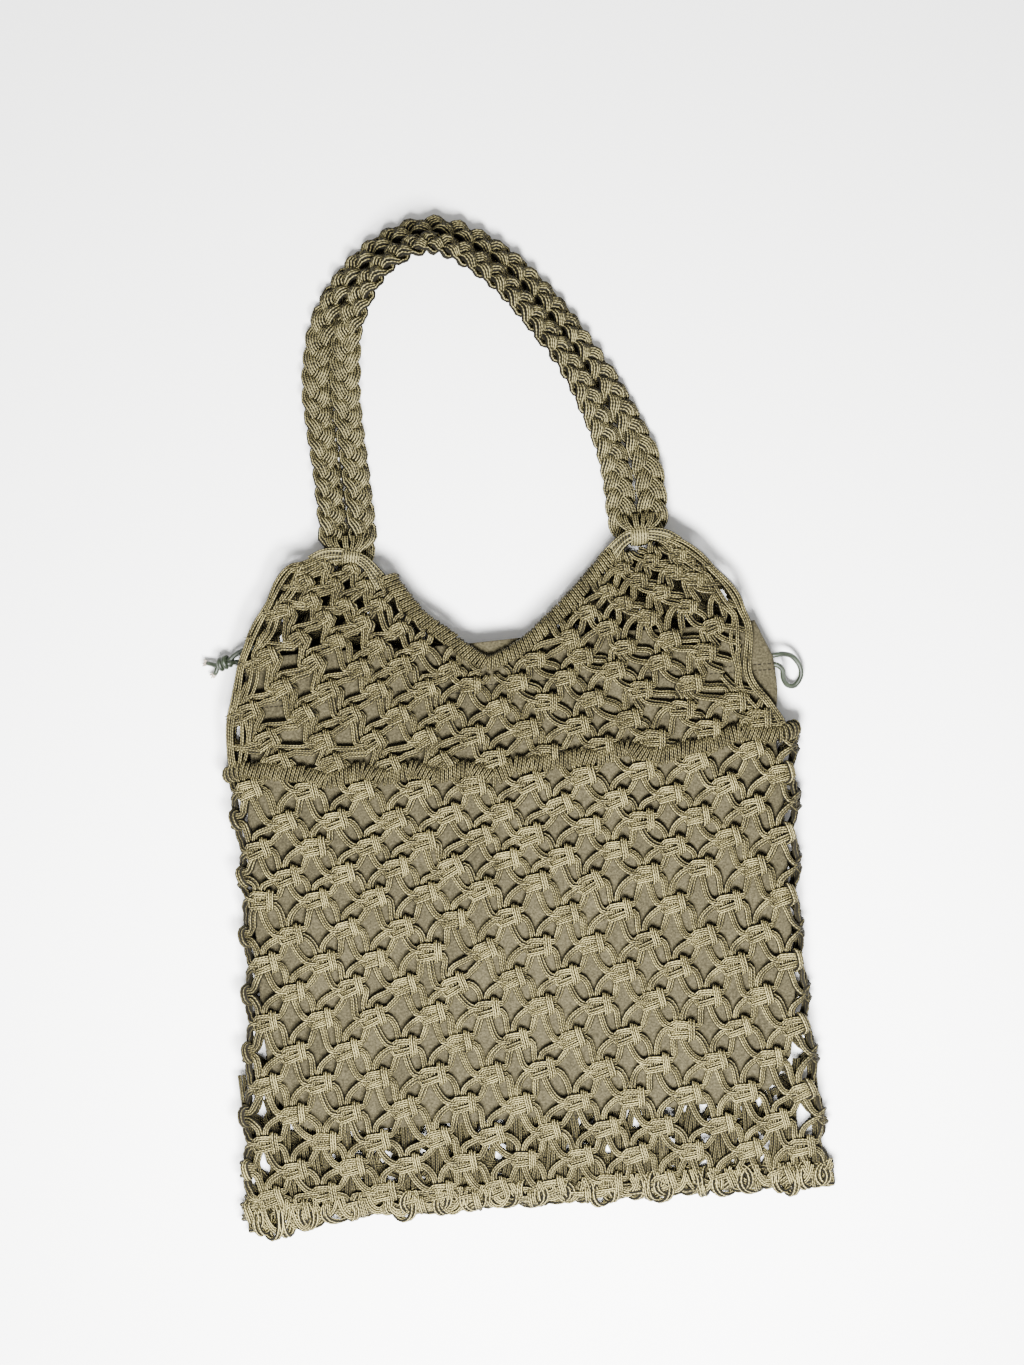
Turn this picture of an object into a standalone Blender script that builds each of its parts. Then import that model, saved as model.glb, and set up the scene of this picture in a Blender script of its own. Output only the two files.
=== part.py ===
"""A macrame shoulder bag lying flat: a knotted net with a yoke, a V neck, a double plait strap and
a cotton drawstring pouch inside. +X runs across the bag, +Y up towards the strap, +Z off the floor.
Lengths are in metres. Before the last step y = 0 is the ridge line and x = 0 the bag's middle."""
import bmesh
import bpy
import math
import numpy as np

# Driving dimensions
NET_WIDTH = 0.324           # net across the ridge, outside
NET_DROP = 0.251            # ridge line to the lowest edge of the bag
YOKE_RISE = 0.114           # ridge line to the foot of the strap
BAG_THICKNESS = 0.024       # floor to the top of the net, lying flat with the pouch inside
FOOT_THICKNESS = 0.014      # the same at the bottom edge
THIN_FROM = 0.80            # share of the drop from which the bag grows thinner
CORD_WALL = 0.006           # thickness of the knotted cord wall
COLUMNS = 10                # diamonds of the coarse net round the bag
ROWS = 7                    # half rows of the coarse net from ridge to bottom edge
HEM_TICKS = 8               # points of the net's hem and of the ridge to a column
YOKE_PITCH = 0.0410         # width of one diamond of the yoke's closer net
YOKE_GAP = (0.36, 0.38)     # half width and half height of a gap, shares of YOKE_PITCH
YOKE_MARGIN = 1.20          # a gap is cut where one this many times larger clears the outline
YOKE_FIRST = 0.85           # how far the rows of gaps are moved up, share of RIDGE_HEIGHT
RIDGE_HEIGHT = 0.0100       # wrapped ridge, along Y
RIDGE_PROUD = 0.0020        # how far the ridge stands over the net in front
RIDGE_WAVE = 0.0100         # unit of the ridge's up and down wandering
NECK_BAR = 0.0090           # width of the wrapped bar along the neck
NECK_SPAN = 0.1240          # the V of the neck between the straps
NECK_DROP = 0.0550          # depth of the V below the foot of the strap
EDGE_ROLL = 0.0110          # height of the knotted roll along the bottom
EDGE_ENDS = 0.72            # thickness of the roll's two ends, share of FOOT_THICKNESS
LINING_WALL = 0.0012        # cotton of the pouch
LINING_WIDTH = 0.2880
LINING_DROP = 0.1930        # ridge line to the pouch's bottom
LINING_RISE = 0.0670        # ridge line to the pouch's mouth
LINING_FULLNESS = (0.34, 0.72, 1.0)     # thickness of its three lowest rows, shares of the full one
STRAP_SPAN = 0.1620         # from foot to foot of the strap, centre to centre
STRAP_REACH = 0.1640        # rise of the strap's middle line over its feet
PLAIT_WIDTH = 0.0175
PLAIT_THICKNESS = 0.0130
PLAIT_LEAF = 0.0112         # one leaf of the plait along its edge
PLAIT_SCALLOP = 0.87        # narrow places of a plait's edge, share of its width
STRAP_SETTLE = 0.0500       # length over which the strap comes down from its foot to the floor
FOOT_KNOT_WIDTH = 0.0360    # gathered knot at the foot of the strap
FOOT_KNOT_HEIGHT = 0.0165
FOOT_KNOT_ROUND = 0.30      # radius of its rounded edges, share of its height
FOOT_KNOT_SEAT = 0.92       # straight edge that it sits on, share of its width
DRAWCORD = 0.0030           # thickness of the drawcord
DRAWCORD_KNOT = 0.0085      # its overhand knot, across
DRAWCORD_KNOT_FLAT = 0.82   # the knot's other two sizes, share of that
LOOP_LEVEL = 0.66           # height of the drawcord's loop, share of LINING_RISE
TIE_LEVEL = 0.99            # height of its tied ends, share of LINING_RISE
GAP = 0.0003                # air between pieces that touch
HEM_GAP = 0.0006            # the same over and under the net, whose wall leans at the sides

# Outline of the net: share of the drop, then left and right edge as shares of half the width
NET_OUTLINE = (
    (0.00, 0.990, 1.005),
    (0.16, 0.970, 0.990),
    (0.40, 0.975, 0.975),
    (0.60, 0.995, 0.980),
    (0.80, 1.030, 1.000),
    (1.00, 1.050, 1.015),
)
# The ridge's wandering: share of half the width across, share of RIDGE_WAVE up
RIDGE_LINE = (
    (-1.00, 0.15), (-0.93, 0.58), (-0.82, 0.35), (-0.71, 0.05), (-0.63, -0.42), (-0.51, 0.08),
    (-0.43, -0.45), (-0.34, -0.02), (-0.26, -0.55), (-0.14, -0.25), (-0.06, -0.95), (0.01, -0.28),
    (0.15, -0.26), (0.23, -0.04), (0.30, -0.28), (0.40, 0.25), (0.48, -0.30), (0.54, -0.38),
    (0.60, -0.10), (0.68, -0.08), (0.79, 0.65), (0.86, 0.45), (0.93, 0.25), (1.00, 0.60),
)
# Side edges of the yoke from the ridge up: share of the rise, share of half the width
YOKE_LEFT = ((0.10, -0.955), (0.30, -0.945), (0.45, -0.915), (0.58, -0.890), (0.69, -0.855),
             (0.83, -0.795), (1.00, -0.715), (1.035, -0.650))
YOKE_RIGHT = ((0.09, 0.940), (0.18, 0.900), (0.32, 0.840), (0.54, 0.850), (0.64, 0.835),
              (0.75, 0.800), (0.87, 0.735), (0.94, 0.670))
# Middle line of the neck bar: share of half the neck span, share of the neck's depth
NECK_LINE = ((-0.96, 0.130), (-0.88, 0.290), (-0.71, 0.560), (-0.52, 0.735), (-0.34, 0.930),
             (-0.15, 1.070), (0.00, 1.040), (0.19, 0.930), (0.37, 0.780), (0.62, 0.540),
             (0.92, 0.210), (1.04, 0.080))
# Pouch: share of the drop (down) or of the rise (up), left and right edge as shares of half width
LINING_BELOW = ((1.00, 0.82, 0.80), (0.97, 0.92, 0.90), (0.88, 1.00, 0.99), (0.45, 1.00, 1.00))
LINING_ABOVE = ((0.00, 1.00, 1.025), (0.45, 1.00, 1.055), (0.70, 1.00, 1.045), (1.00, 0.992, 0.985))
# Strap: share of half the span across, share of the reach up, roll in degrees about its own line
STRAP_LINE = (
    (-0.99, 0.115, 0), (-1.01, 0.270, 0), (-1.04, 0.520, 6), (-1.035, 0.655, 14),
    (-0.95, 0.850, 36), (-0.68, 1.030, 66), (-0.28, 1.105, 68), (0.11, 1.010, 60),
    (0.41, 0.850, 60), (0.71, 0.620, 58), (0.92, 0.385, 30), (0.995, 0.235, 6), (1.005, 0.115, 0),
)
# Section of a plait: shares of half its width and half its thickness
PLAIT_SECTION = ((1.0, 0.38), (0.62, 0.92), (0.0, 1.0), (-0.62, 0.92), (-1.0, 0.38),
                 (-1.0, -0.38), (-0.62, -0.92), (0.0, -1.0), (0.62, -0.92), (1.0, -0.38))
STRAP_FOOT_TILT = (12.0, 0.0)   # degrees that the left and right foot line falls inwards
# Bottom roll: share of half the width across, share of EDGE_ROLL down
EDGE_LINE = (
    (-1.04, 0.75), (-1.00, 1.30), (-0.93, 1.55), (-0.86, 1.60), (-0.80, 1.25), (-0.73, 0.80),
    (-0.66, 1.00), (-0.58, 0.78), (-0.50, 1.00), (-0.41, 0.90), (-0.33, 1.05), (-0.24, 0.72),
    (-0.15, 0.90), (-0.07, 0.72), (0.02, 1.00), (0.10, 0.82), (0.19, 1.05), (0.28, 0.85),
    (0.37, 1.00), (0.46, 0.80), (0.54, 0.95), (0.62, 0.74), (0.70, 0.95), (0.78, 0.78),
    (0.86, 1.00), (0.94, 0.84), (1.00, 0.75),
)
# The drawcord's routes, metres from the pouch's edge: out, up, height over the floor
DRAWCORD_LOOP = ((0.0005, 0.0030, 0.0120), (0.0050, 0.0032, 0.0108), (0.0100, 0.0012, 0.0084),
                 (0.0140, -0.0045, 0.0060), (0.0140, -0.0100, 0.0045), (0.0105, -0.0146, 0.0040),
                 (0.0066, -0.0140, 0.0050), (0.0044, -0.0100, 0.0078), (0.0040, -0.0055, 0.0105),
                 (0.0014, -0.0026, 0.0120))
DRAWCORD_UPPER = ((0.0005, 0.0060, 0.0120), (0.0050, 0.0058, 0.0108), (0.0098, 0.0034, 0.0085))
DRAWCORD_LOWER = ((0.0005, -0.0010, 0.0120), (0.0045, -0.0010, 0.0104), (0.00857, -0.0009, 0.0084))
DRAWCORD_KNOT_AT = (0.0122, 0.0000, 0.0075)
TAIL_LONG = ((0.0161, 0.0005, 0.0068), (0.0190, 0.0006, 0.0054), (0.0223, 0.0002, 0.0034))
TAIL_SHORT = ((0.0147, -0.0032, 0.0064), (0.0167, -0.0042, 0.0052), (0.0190, -0.0048, 0.0036))

BAG = bpy.data.collections.new("macrame_bag")


def empty_file():
    """Remove what the file starts with and link the bag's own collection."""
    for thing in list(bpy.data.objects):
        bpy.data.objects.remove(thing)
    bpy.context.scene.collection.children.link(BAG)


def finish(name, colour, roughness):
    """A plain cloth or cord finish."""
    material = bpy.data.materials.new(name)
    material.use_nodes = True
    shader = material.node_tree.nodes["Principled BSDF"]
    shader.inputs["Base Color"].default_value = (*colour, 1.0)
    shader.inputs["Roughness"].default_value = roughness
    shader.inputs["Metallic"].default_value = 0.0
    return material


def add_object(name, data, material):
    """Put a mesh or curve into the bag's collection with its finish."""
    thing = bpy.data.objects.new(name, data)
    data.materials.append(material)
    BAG.objects.link(thing)
    return thing


def add_mesh(name, points, faces, material):
    mesh = bpy.data.meshes.new(name)
    mesh.from_pydata([tuple(point) for point in points], [], faces)
    mesh.update()
    return add_object(name, mesh, material)


def face_outwards(mesh):
    """Turn the faces of a closed mesh outwards."""
    work = bmesh.new()
    work.from_mesh(mesh)
    bmesh.ops.recalc_face_normals(work, faces=work.faces)
    work.to_mesh(mesh)
    work.free()


def add_wall(thing, thickness, offset=0.0):
    """Give an open surface its wall."""
    wall = thing.modifiers.new("wall", "SOLIDIFY")
    wall.thickness = thickness
    wall.offset = offset
    wall.use_rim = True


def adopt(name, material):
    """Name a primitive that was just added, give it its finish and move it to the bag."""
    thing = bpy.context.active_object
    thing.name = name
    thing.data.name = name
    for collection in list(thing.users_collection):
        collection.objects.unlink(thing)
    BAG.objects.link(thing)
    thing.data.materials.append(material)
    return thing


def stretch(thing, size):
    """Scale the points of a primitive of size 1 to three lengths."""
    for vertex in thing.data.vertices:
        vertex.co = [value * length for value, length in zip(vertex.co, size)]


def column(table, index):
    return [row[index] for row in table]


def run_of(line):
    """Direction of a line in XY at each of its points."""
    run = np.gradient(line[:, :2], axis=0)
    return run / np.linalg.norm(run, axis=1)[:, None]


def edges_at(down):
    """Left and right outer edge of the net at a share of the drop."""
    shares = column(NET_OUTLINE, 0)
    left = -NET_WIDTH / 2 * np.interp(down, shares, column(NET_OUTLINE, 1))
    right = NET_WIDTH / 2 * np.interp(down, shares, column(NET_OUTLINE, 2))
    return left, right


def flat_loop(turn, left, right, low, high):
    """Point and outward direction on a flattened loop in XZ: two straight runs and two half
    circles. turn runs 0 to 1 from the middle of the left side over the front to the back."""
    radius = (high - low) / 2
    middle = (high + low) / 2
    quarter = math.pi * radius / 2
    start = left + radius
    end = right - radius
    straight = end - start
    way = np.mod(turn, 1.0) * (2 * straight + 4 * quarter)
    stops = np.cumsum([quarter, straight, 2 * quarter, straight])
    runs = [way < stop for stop in stops]
    angle = np.select(runs, [math.pi - way / radius, math.pi / 2,
                             math.pi / 2 - (way - stops[1]) / radius, -math.pi / 2],
                      -math.pi / 2 - (way - stops[3]) / radius)
    centre = np.select(runs, [start, start + way - stops[0], end, end - (way - stops[2])], start)
    across = np.cos(angle)
    across = np.where(np.abs(across) < 1e-9, 0.0, across)
    x = centre + radius * across
    z = middle + radius * np.sin(angle)
    return x, z, across, np.sin(angle)


def ridge_height(x):
    """How far the ridge line wanders up or down at x."""
    share = np.asarray(x) / (NET_WIDTH / 2)
    return RIDGE_WAVE * np.interp(share, column(RIDGE_LINE, 0), column(RIDGE_LINE, 1))


def net_point(turn, step):
    """Middle of the net's wall. step counts half rows from the ridge down to the bottom roll."""
    share = step / ROWS
    down = share * (NET_DROP - EDGE_ROLL) / NET_DROP
    left, right = edges_at(down)
    taper = np.clip((share - THIN_FROM) / (1.0 - THIN_FROM), 0.0, 1.0)
    high = BAG_THICKNESS - (BAG_THICKNESS - FOOT_THICKNESS) * taper
    half = CORD_WALL / 2
    x, z, _, _ = flat_loop(turn, left + half, right - half, half, high - half)
    top = -(RIDGE_HEIGHT / 2 + HEM_GAP) + ridge_height(x)
    bottom = -(NET_DROP - EDGE_ROLL - HEM_GAP)
    return np.array([x, top + (bottom - top) * share, z])


def make_net(material):
    """The coarse net: diamonds of joined bars. Knots are small squares on a chequered grid, bars
    are strips between their corners, and a plain hem closes the top and the bottom."""
    knot_wide = 0.125       # half a knot, in columns
    knot_tall = 0.22        # half a knot, in half rows
    side_wide = 0.0625      # half of the bar along each side, in columns
    hem = 0.13              # height of the hem, in half rows
    grid = 2 * HEM_TICKS    # places that a corner can take, to a column
    points = []
    faces = []
    index = {}

    def corner(tick, step):
        key = (round(tick * grid) % (COLUMNS * grid), round(step, 4))
        if key not in index:
            index[key] = len(points)
            points.append(net_point(key[0] / grid / COLUMNS, step))
        return index[key]

    def middle(first, second):
        key = (min(first, second), max(first, second))
        if key not in index:
            index[key] = len(points)
            tick_a, tick_b = place[first], place[second]
            points.append(net_point((tick_a[0] + tick_b[0]) / 2 / COLUMNS, (tick_a[1] + tick_b[1]) / 2))
        return index[key]

    place = {}

    def at(tick, step):
        number = corner(tick, step)
        place[number] = (tick, step)
        return number

    def bar(upper_a, lower_a, upper_b, lower_b):
        """A strip in two pieces from corners a to corners b."""
        mid_upper = middle(upper_a, upper_b)
        mid_lower = middle(lower_a, lower_b)
        faces.append((upper_a, mid_upper, mid_lower, lower_a))
        faces.append((mid_upper, upper_b, lower_b, mid_lower))

    low = hem
    high = ROWS - hem
    for edge, inner in ((0.0, low), (float(ROWS), high)):
        for tick in range(COLUMNS * HEM_TICKS):
            a, b = tick / HEM_TICKS, (tick + 1) / HEM_TICKS
            quad = (at(a, edge), at(b, edge), at(b, inner), at(a, inner))
            faces.append(quad if edge == 0.0 else quad[::-1])

    def knot(tick, row):
        """Corners of one knot: left, two on top, right, two below. Only the knots on the bag's
        two sides are cut off flat, to carry the bar along the side."""
        flat = side_wide if tick % (COLUMNS / 2) == 0 else 0.0
        step = min(max(row, low), high)
        top = step if row == 0 else step - knot_tall
        bottom = step if row == ROWS else step + knot_tall
        return (at(tick - knot_wide, step), at(tick - flat, top), at(tick + flat, top),
                at(tick + knot_wide, step), at(tick + flat, bottom), at(tick - flat, bottom))

    def half_knot(foot_point, corners):
        """A fan of triangles from a point of the hem over the corners of half a knot."""
        for first, second in zip(corners, corners[1:]):
            if first != second:
                faces.append((foot_point, first, second))

    for row in range(ROWS + 1):
        for number in range(COLUMNS):
            tick = number + (row % 2) / 2
            corners = knot(tick, row)
            left, _, _, right, bottom_right, bottom_left = corners
            if row == 0:
                half_knot(at(tick, low), (right, bottom_right, bottom_left, left))
            elif row == ROWS:
                half_knot(at(tick, high), corners[:4])
            else:
                faces.append(tuple(dict.fromkeys(corners)))
            if row < ROWS:
                after = knot(tick + 0.5, row + 1)
                bar(right, bottom_right, after[1], after[0])
                before = knot(tick - 0.5, row + 1)
                bar(bottom_left, left, before[3], before[2])
            if tick % (COLUMNS / 2) == 0 and row < ROWS:
                halfway = (at(tick + side_wide, row + 1), at(tick - side_wide, row + 1))
                if row + 2 <= ROWS:
                    below = knot(tick, row + 2)[1:3]
                    faces.append((bottom_left, bottom_right, *halfway))
                    faces.append((*halfway[::-1], below[1], below[0]))
                else:
                    half_knot(at(tick, high), (at(tick - knot_wide, high), bottom_left,
                                               bottom_right, at(tick + knot_wide, high)))
    net = add_mesh("net_body", points, faces, material)
    add_wall(net, CORD_WALL)
    return net


def sweep(name, rings, material, closed=False):
    """A closed solid through rings of points, each ring a numpy array of the same size."""
    count, sides = len(rings), len(rings[0])
    faces = []
    for ring in range(count if closed else count - 1):
        here, there = ring * sides, (ring + 1) % count * sides
        for side in range(sides):
            after = (side + 1) % sides
            faces.append((here + side, here + after, there + after, there + side))
    if not closed:
        faces.append(tuple(range(sides))[::-1])
        faces.append(tuple(range((count - 1) * sides, count * sides)))
    solid = add_mesh(name, np.concatenate(rings), faces, material)
    face_outwards(solid.data)
    return solid


def make_ridge(material):
    """The wrapped ridge: a closed ring over the net's top hem that follows its wandering line."""
    profile = ((-0.5, -0.6), (-0.5, 0.6), (0.0, 1.0), (0.5, 0.6), (0.5, -0.6), (0.0, -1.0))
    ticks = COLUMNS * HEM_TICKS
    left, right = edges_at(0.0)
    half = CORD_WALL / 2
    rings = []
    for tick in range(ticks):
        x, z, nx, nz = flat_loop(np.array(tick / ticks), left + half, right - half, half,
                                 BAG_THICKNESS - half)
        proud = RIDGE_PROUD * max(0.0, float(nz))
        y = float(ridge_height(x))
        ring = []
        for along, out in profile:
            reach = half * out + proud * (out + 1) / 2
            ring.append((x + nx * reach, y + RIDGE_HEIGHT * along, z + nz * reach))
        rings.append(np.array(ring))
    return sweep("ridge_band", rings, material, closed=True)


def neck_points():
    """Middle line of the neck bar in XY."""
    line = np.array(NECK_LINE)
    return np.stack([line[:, 0] * NECK_SPAN / 2, YOKE_RISE - line[:, 1] * NECK_DROP], axis=1)


def side_steps(line, distance):
    """The line moved sideways in XY, to its right for a positive distance."""
    run = run_of(line)
    return line + distance * np.stack([run[:, 1], -run[:, 0]], axis=1)


def foot(side):
    """Middle of a strap foot line and its tilt, side 0 left and 1 right."""
    sign = (-1, 1)[side]
    tilt = sign * math.radians(STRAP_FOOT_TILT[side])
    return np.array([sign * STRAP_SPAN / 2, YOKE_RISE]), tilt


def yoke_outline():
    """Closed outline of a yoke panel: ridge, right side, strap foot, neck, strap foot, left side."""
    left, right = edges_at(0.0)
    half = CORD_WALL / 2
    ticks = COLUMNS * HEM_TICKS
    turns = np.arange(ticks) / ticks
    x, _, _, nz = flat_loop(turns, left + half, right - half, half, BAG_THICKNESS - half)
    low = NET_WIDTH / 2 * YOKE_LEFT[0][1]
    high = NET_WIDTH / 2 * YOKE_RIGHT[0][1]
    keep = (nz > 0.99) & (x > low) & (x < high)
    bottom = np.stack([x[keep], ridge_height(x[keep]) + RIDGE_HEIGHT / 2 + GAP], axis=1)
    sides = [np.array([(NET_WIDTH / 2 * across, YOKE_RISE * up) for up, across in table])
             for table in (YOKE_RIGHT, YOKE_LEFT)]
    neck = side_steps(neck_points(), NECK_BAR / 2 + GAP)
    feet = []
    for side in (0, 1):
        place, tilt = foot(side)
        run = np.array([math.cos(tilt), math.sin(tilt)]) * FOOT_KNOT_WIDTH * FOOT_KNOT_SEAT / 2
        feet.append((place - run, place + run))
    top_right = np.array([feet[1][1], feet[1][0]])
    top_left = np.array([feet[0][1], feet[0][0]])
    return np.concatenate([bottom, sides[0][:-1], top_right, neck[::-1], top_left, sides[1][:-1][::-1]])


def inside(outline, point):
    """Whether a point is inside a closed outline: count the edges that cross to its right."""
    following = np.roll(outline, -1, axis=0)
    spans = (outline[:, 1] > point[1]) != (following[:, 1] > point[1])
    rise = np.where(spans, following[:, 1] - outline[:, 1], 1.0)
    cross = outline[:, 0] + (point[1] - outline[:, 1]) * (following[:, 0] - outline[:, 0]) / rise
    return np.count_nonzero(spans & (cross > point[0])) % 2 == 1


def yoke_holes(outline):
    """Diamonds of the yoke's closer net that clear its outline all round."""
    half_wide, half_tall = [YOKE_PITCH * share for share in YOKE_GAP]
    row_step = YOKE_PITCH / 2
    reach = int(NET_WIDTH / 2 / YOKE_PITCH) + 1
    holes = []
    for row in range(1, int(YOKE_RISE / row_step) + 1):
        shift = 0.5 if row % 2 else 0.0
        for number in range(-reach, reach + 1):
            centre = np.array([(number + shift) * YOKE_PITCH, row * row_step + RIDGE_HEIGHT * YOKE_FIRST])
            diamond = np.array([(half_wide, 0), (0, half_tall), (-half_wide, 0), (0, -half_tall)])
            if all(inside(outline, centre + YOKE_MARGIN * corner) for corner in diamond):
                holes.append(centre + diamond)
    return holes


def make_yoke(name, floor, material):
    """A yoke panel: a flat outline with diamond holes, as thick as the cord wall."""
    outline = yoke_outline()
    curve = bpy.data.curves.new(name, "CURVE")
    curve.dimensions = "2D"
    curve.fill_mode = "BOTH"
    curve.extrude = CORD_WALL / 2
    for ring in [outline] + yoke_holes(outline):
        spline = curve.splines.new("POLY")
        spline.points.add(len(ring) - 1)
        for point, (x, y) in zip(spline.points, ring):
            point.co = (x, y, 0.0, 1.0)
        spline.use_cyclic_u = True
    yoke = add_object(name, curve, material)
    yoke.location.z = floor + CORD_WALL / 2
    return yoke


def make_neck_edge(name, floor, material):
    """The wrapped bar along the V of the neck, a flattened tube."""
    line = neck_points()
    profile = ((1.0, 0.2), (1.0, 0.8), (0.45, 1.0), (-0.45, 1.0), (-1.0, 0.8), (-1.0, 0.2),
               (-0.45, 0.0), (0.45, 0.0))
    rings = []
    for (x, y), (ahead_x, ahead_y) in zip(line, run_of(line)):
        rings.append(np.array([(x + ahead_y * side * NECK_BAR / 2, y - ahead_x * side * NECK_BAR / 2,
                                floor + CORD_WALL * up) for side, up in profile]))
    return sweep(name, rings, material)


def make_bottom_edge(material):
    """The knotted roll that closes the net below, lumpy, thick in the left corner."""
    profile = ((0.0, 0.15), (0.0, 0.85), (0.3, 1.0), (0.75, 0.9), (1.0, 0.6), (1.0, 0.35),
               (0.75, 0.05), (0.3, 0.0))
    left, right = edges_at(1.0)
    top = -(NET_DROP - EDGE_ROLL)
    rings = []
    for across, depth in EDGE_LINE:
        x = np.clip(NET_WIDTH / 2 * across, left, right)
        ends = EDGE_ENDS if abs(across) >= 1.0 else 1.0
        rings.append(np.array([(x, top - EDGE_ROLL * depth * down, FOOT_THICKNESS * (0.5 + ends * (up - 0.5)))
                               for down, up in profile]))
    return sweep("bottom_edge", rings, material)


def even_turns(width, radius, corner_steps, run_steps):
    """Turns of a flattened loop that give each quarter circle and each run its own even steps."""
    quarter = math.pi * radius / 2
    run = width - 2 * radius
    spans = [quarter / corner_steps] * corner_steps + [run / run_steps] * run_steps
    half_way = spans + [quarter / corner_steps] * corner_steps
    ways = np.concatenate([[0.0], np.cumsum(half_way + half_way[:-1])])
    return ways / (2 * run + 4 * quarter)


def make_lining(material):
    """The cotton pouch: flattened loops from its closed bottom to its open mouth."""
    corner_steps = 2
    run_steps = 6
    around = 4 * corner_steps + 2 * run_steps
    low = CORD_WALL + GAP + LINING_WALL / 2
    high = BAG_THICKNESS - low
    middle = (low + high) / 2
    sections = [(-LINING_DROP * share, left, right) for share, left, right in LINING_BELOW]
    sections += [(LINING_RISE * share, left, right) for share, left, right in LINING_ABOVE]
    points = []
    for number, (y, left, right) in enumerate(sections):
        full = LINING_FULLNESS[min(number, len(LINING_FULLNESS) - 1)]
        half = LINING_WIDTH / 2
        radius = (high - middle) * full
        turns = even_turns(half * (left + right), radius, corner_steps, run_steps)
        x, z, _, _ = flat_loop(turns, -half * left, half * right, middle - radius, middle + radius)
        points += [(a, y, c) for a, c in zip(x, z)]
    faces = []
    for ring in range(len(sections) - 1):
        for side in range(around):
            after = (side + 1) % around
            faces.append((ring * around + side, (ring + 1) * around + side,
                          (ring + 1) * around + after, ring * around + after))
    for side in range(around // 2):
        face = (side, side + 1, (around - 1 - side) % around, (around - side) % around)
        faces.append(tuple(dict.fromkeys(face)))
    lining = add_mesh("lining_pouch", points, faces, material)
    add_wall(lining, LINING_WALL)
    return lining


def smooth_line(points, steps):
    """A Catmull-Rom curve through the points, with a number of steps to a span."""
    points = np.asarray(points, dtype=float)
    padded = np.concatenate([[2 * points[0] - points[1]], points, [2 * points[-1] - points[-2]]])
    share = np.linspace(0.0, 1.0, steps, endpoint=False)[:, None]
    line = []
    for a, b, c, d in zip(padded, padded[1:], padded[2:], padded[3:]):
        line.append(0.5 * (2 * b + (c - a) * share + (2 * a - 5 * b + 4 * c - d) * share ** 2
                           + (3 * b - a - 3 * c + d) * share ** 3))
    return np.concatenate(line + [points[-1:]])


def even_steps(line, step):
    """The line read again at even steps of its length."""
    spans = np.linalg.norm(np.diff(line[:, :2], axis=0), axis=1)
    way = np.concatenate([[0.0], np.cumsum(spans)])
    count = int(round(way[-1] / step))
    stops = np.linspace(0.0, way[-1], count + 1)
    return np.stack([np.interp(stops, way, line[:, axis]) for axis in range(line.shape[1])], axis=1)


def foot_normal(side):
    """Direction out of a strap foot, square to its line."""
    _, tilt = foot(side)
    return np.array([-math.sin(tilt), math.cos(tilt)])


def strap_frames():
    """Middle line of the strap with its sideways direction and its roll. The line leaves the foot
    knots squarely at half the bag's thickness and then lies on the floor."""
    rows = np.array([(x * STRAP_SPAN / 2, YOKE_RISE + y * STRAP_REACH, roll) for x, y, roll in STRAP_LINE])
    rise = FOOT_KNOT_HEIGHT + 2 * GAP
    for side, row in ((0, 0), (1, -1)):
        rows[row, :2] = foot(side)[0] + foot_normal(side) * rise
    line = even_steps(smooth_line(rows, 8), PLAIT_LEAF / 2)
    run = run_of(line)
    run[0] = foot_normal(0)
    run[-1] = -foot_normal(1)
    outward = np.stack([-run[:, 1], run[:, 0]], axis=1)
    roll = np.radians(line[:, 2])
    centre_gap = (PLAIT_WIDTH + GAP) / 2
    reach = [PLAIT_WIDTH / 2 * across * np.sin(roll) + PLAIT_THICKNESS / 2 * up * np.cos(roll)
             for across, up in PLAIT_SECTION]
    lowest = centre_gap * np.sin(roll) + np.max(reach, axis=0)
    way = np.arange(len(line)) * PLAIT_LEAF / 2
    near = np.clip(1.0 - np.minimum(way, way[::-1]) / STRAP_SETTLE, 0.0, 1.0)
    height = lowest + (BAG_THICKNESS / 2 - lowest) * near ** 2 * (3 - 2 * near)
    return line[:, :2], height, outward, roll


def make_plait(name, side, material):
    """One three-strand plait of the strap as a scalloped tube. side is 1 for the outer plait and
    -1 for the inner one, which rides up where the strap rolls onto its edge."""
    line, height, outward, roll = strap_frames()
    shift = side * (PLAIT_WIDTH + GAP) / 2
    rings = []
    for number, ((x, y), z, (out_x, out_y), angle) in enumerate(zip(line, height, outward, roll)):
        wide = np.array([out_x * math.cos(angle), out_y * math.cos(angle), -math.sin(angle)])
        thick = np.array([out_x * math.sin(angle), out_y * math.sin(angle), math.cos(angle)])
        centre = np.array([x, y, z]) + wide * shift
        bulge = (1.0, PLAIT_SCALLOP) if number % 2 else (PLAIT_SCALLOP, 1.0)
        ring = [centre + wide * (PLAIT_WIDTH / 2 * across * bulge[0 if across > 0 else 1])
                + thick * (PLAIT_THICKNESS / 2 * up) for across, up in PLAIT_SECTION]
        rings.append(np.array(ring))
    return sweep(name, rings, material)


def make_foot_knot(name, side, material):
    """The gathered knot at a strap foot: a block with well rounded edges, flat where it seats."""
    bpy.ops.mesh.primitive_cube_add(size=1.0)
    knot = adopt(name, material)
    stretch(knot, (FOOT_KNOT_WIDTH, FOOT_KNOT_HEIGHT, BAG_THICKNESS))
    place, tilt = foot(side)
    centre = place + foot_normal(side) * (GAP + FOOT_KNOT_HEIGHT / 2)
    knot.location = (centre[0], centre[1], BAG_THICKNESS / 2)
    knot.rotation_euler.z = tilt
    bevel = knot.modifiers.new("round", "BEVEL")
    bevel.width = FOOT_KNOT_HEIGHT * FOOT_KNOT_ROUND
    bevel.segments = 3
    bevel.limit_method = "NONE"
    return knot


def pouch_side(side, y):
    """Outer edge of the pouch at a height y above the ridge, side -1 left and 1 right."""
    shares = [LINING_RISE * row[0] for row in LINING_ABOVE]
    return side * LINING_WIDTH / 2 * np.interp(y, shares, column(LINING_ABOVE, 2 if side > 0 else 1))


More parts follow.
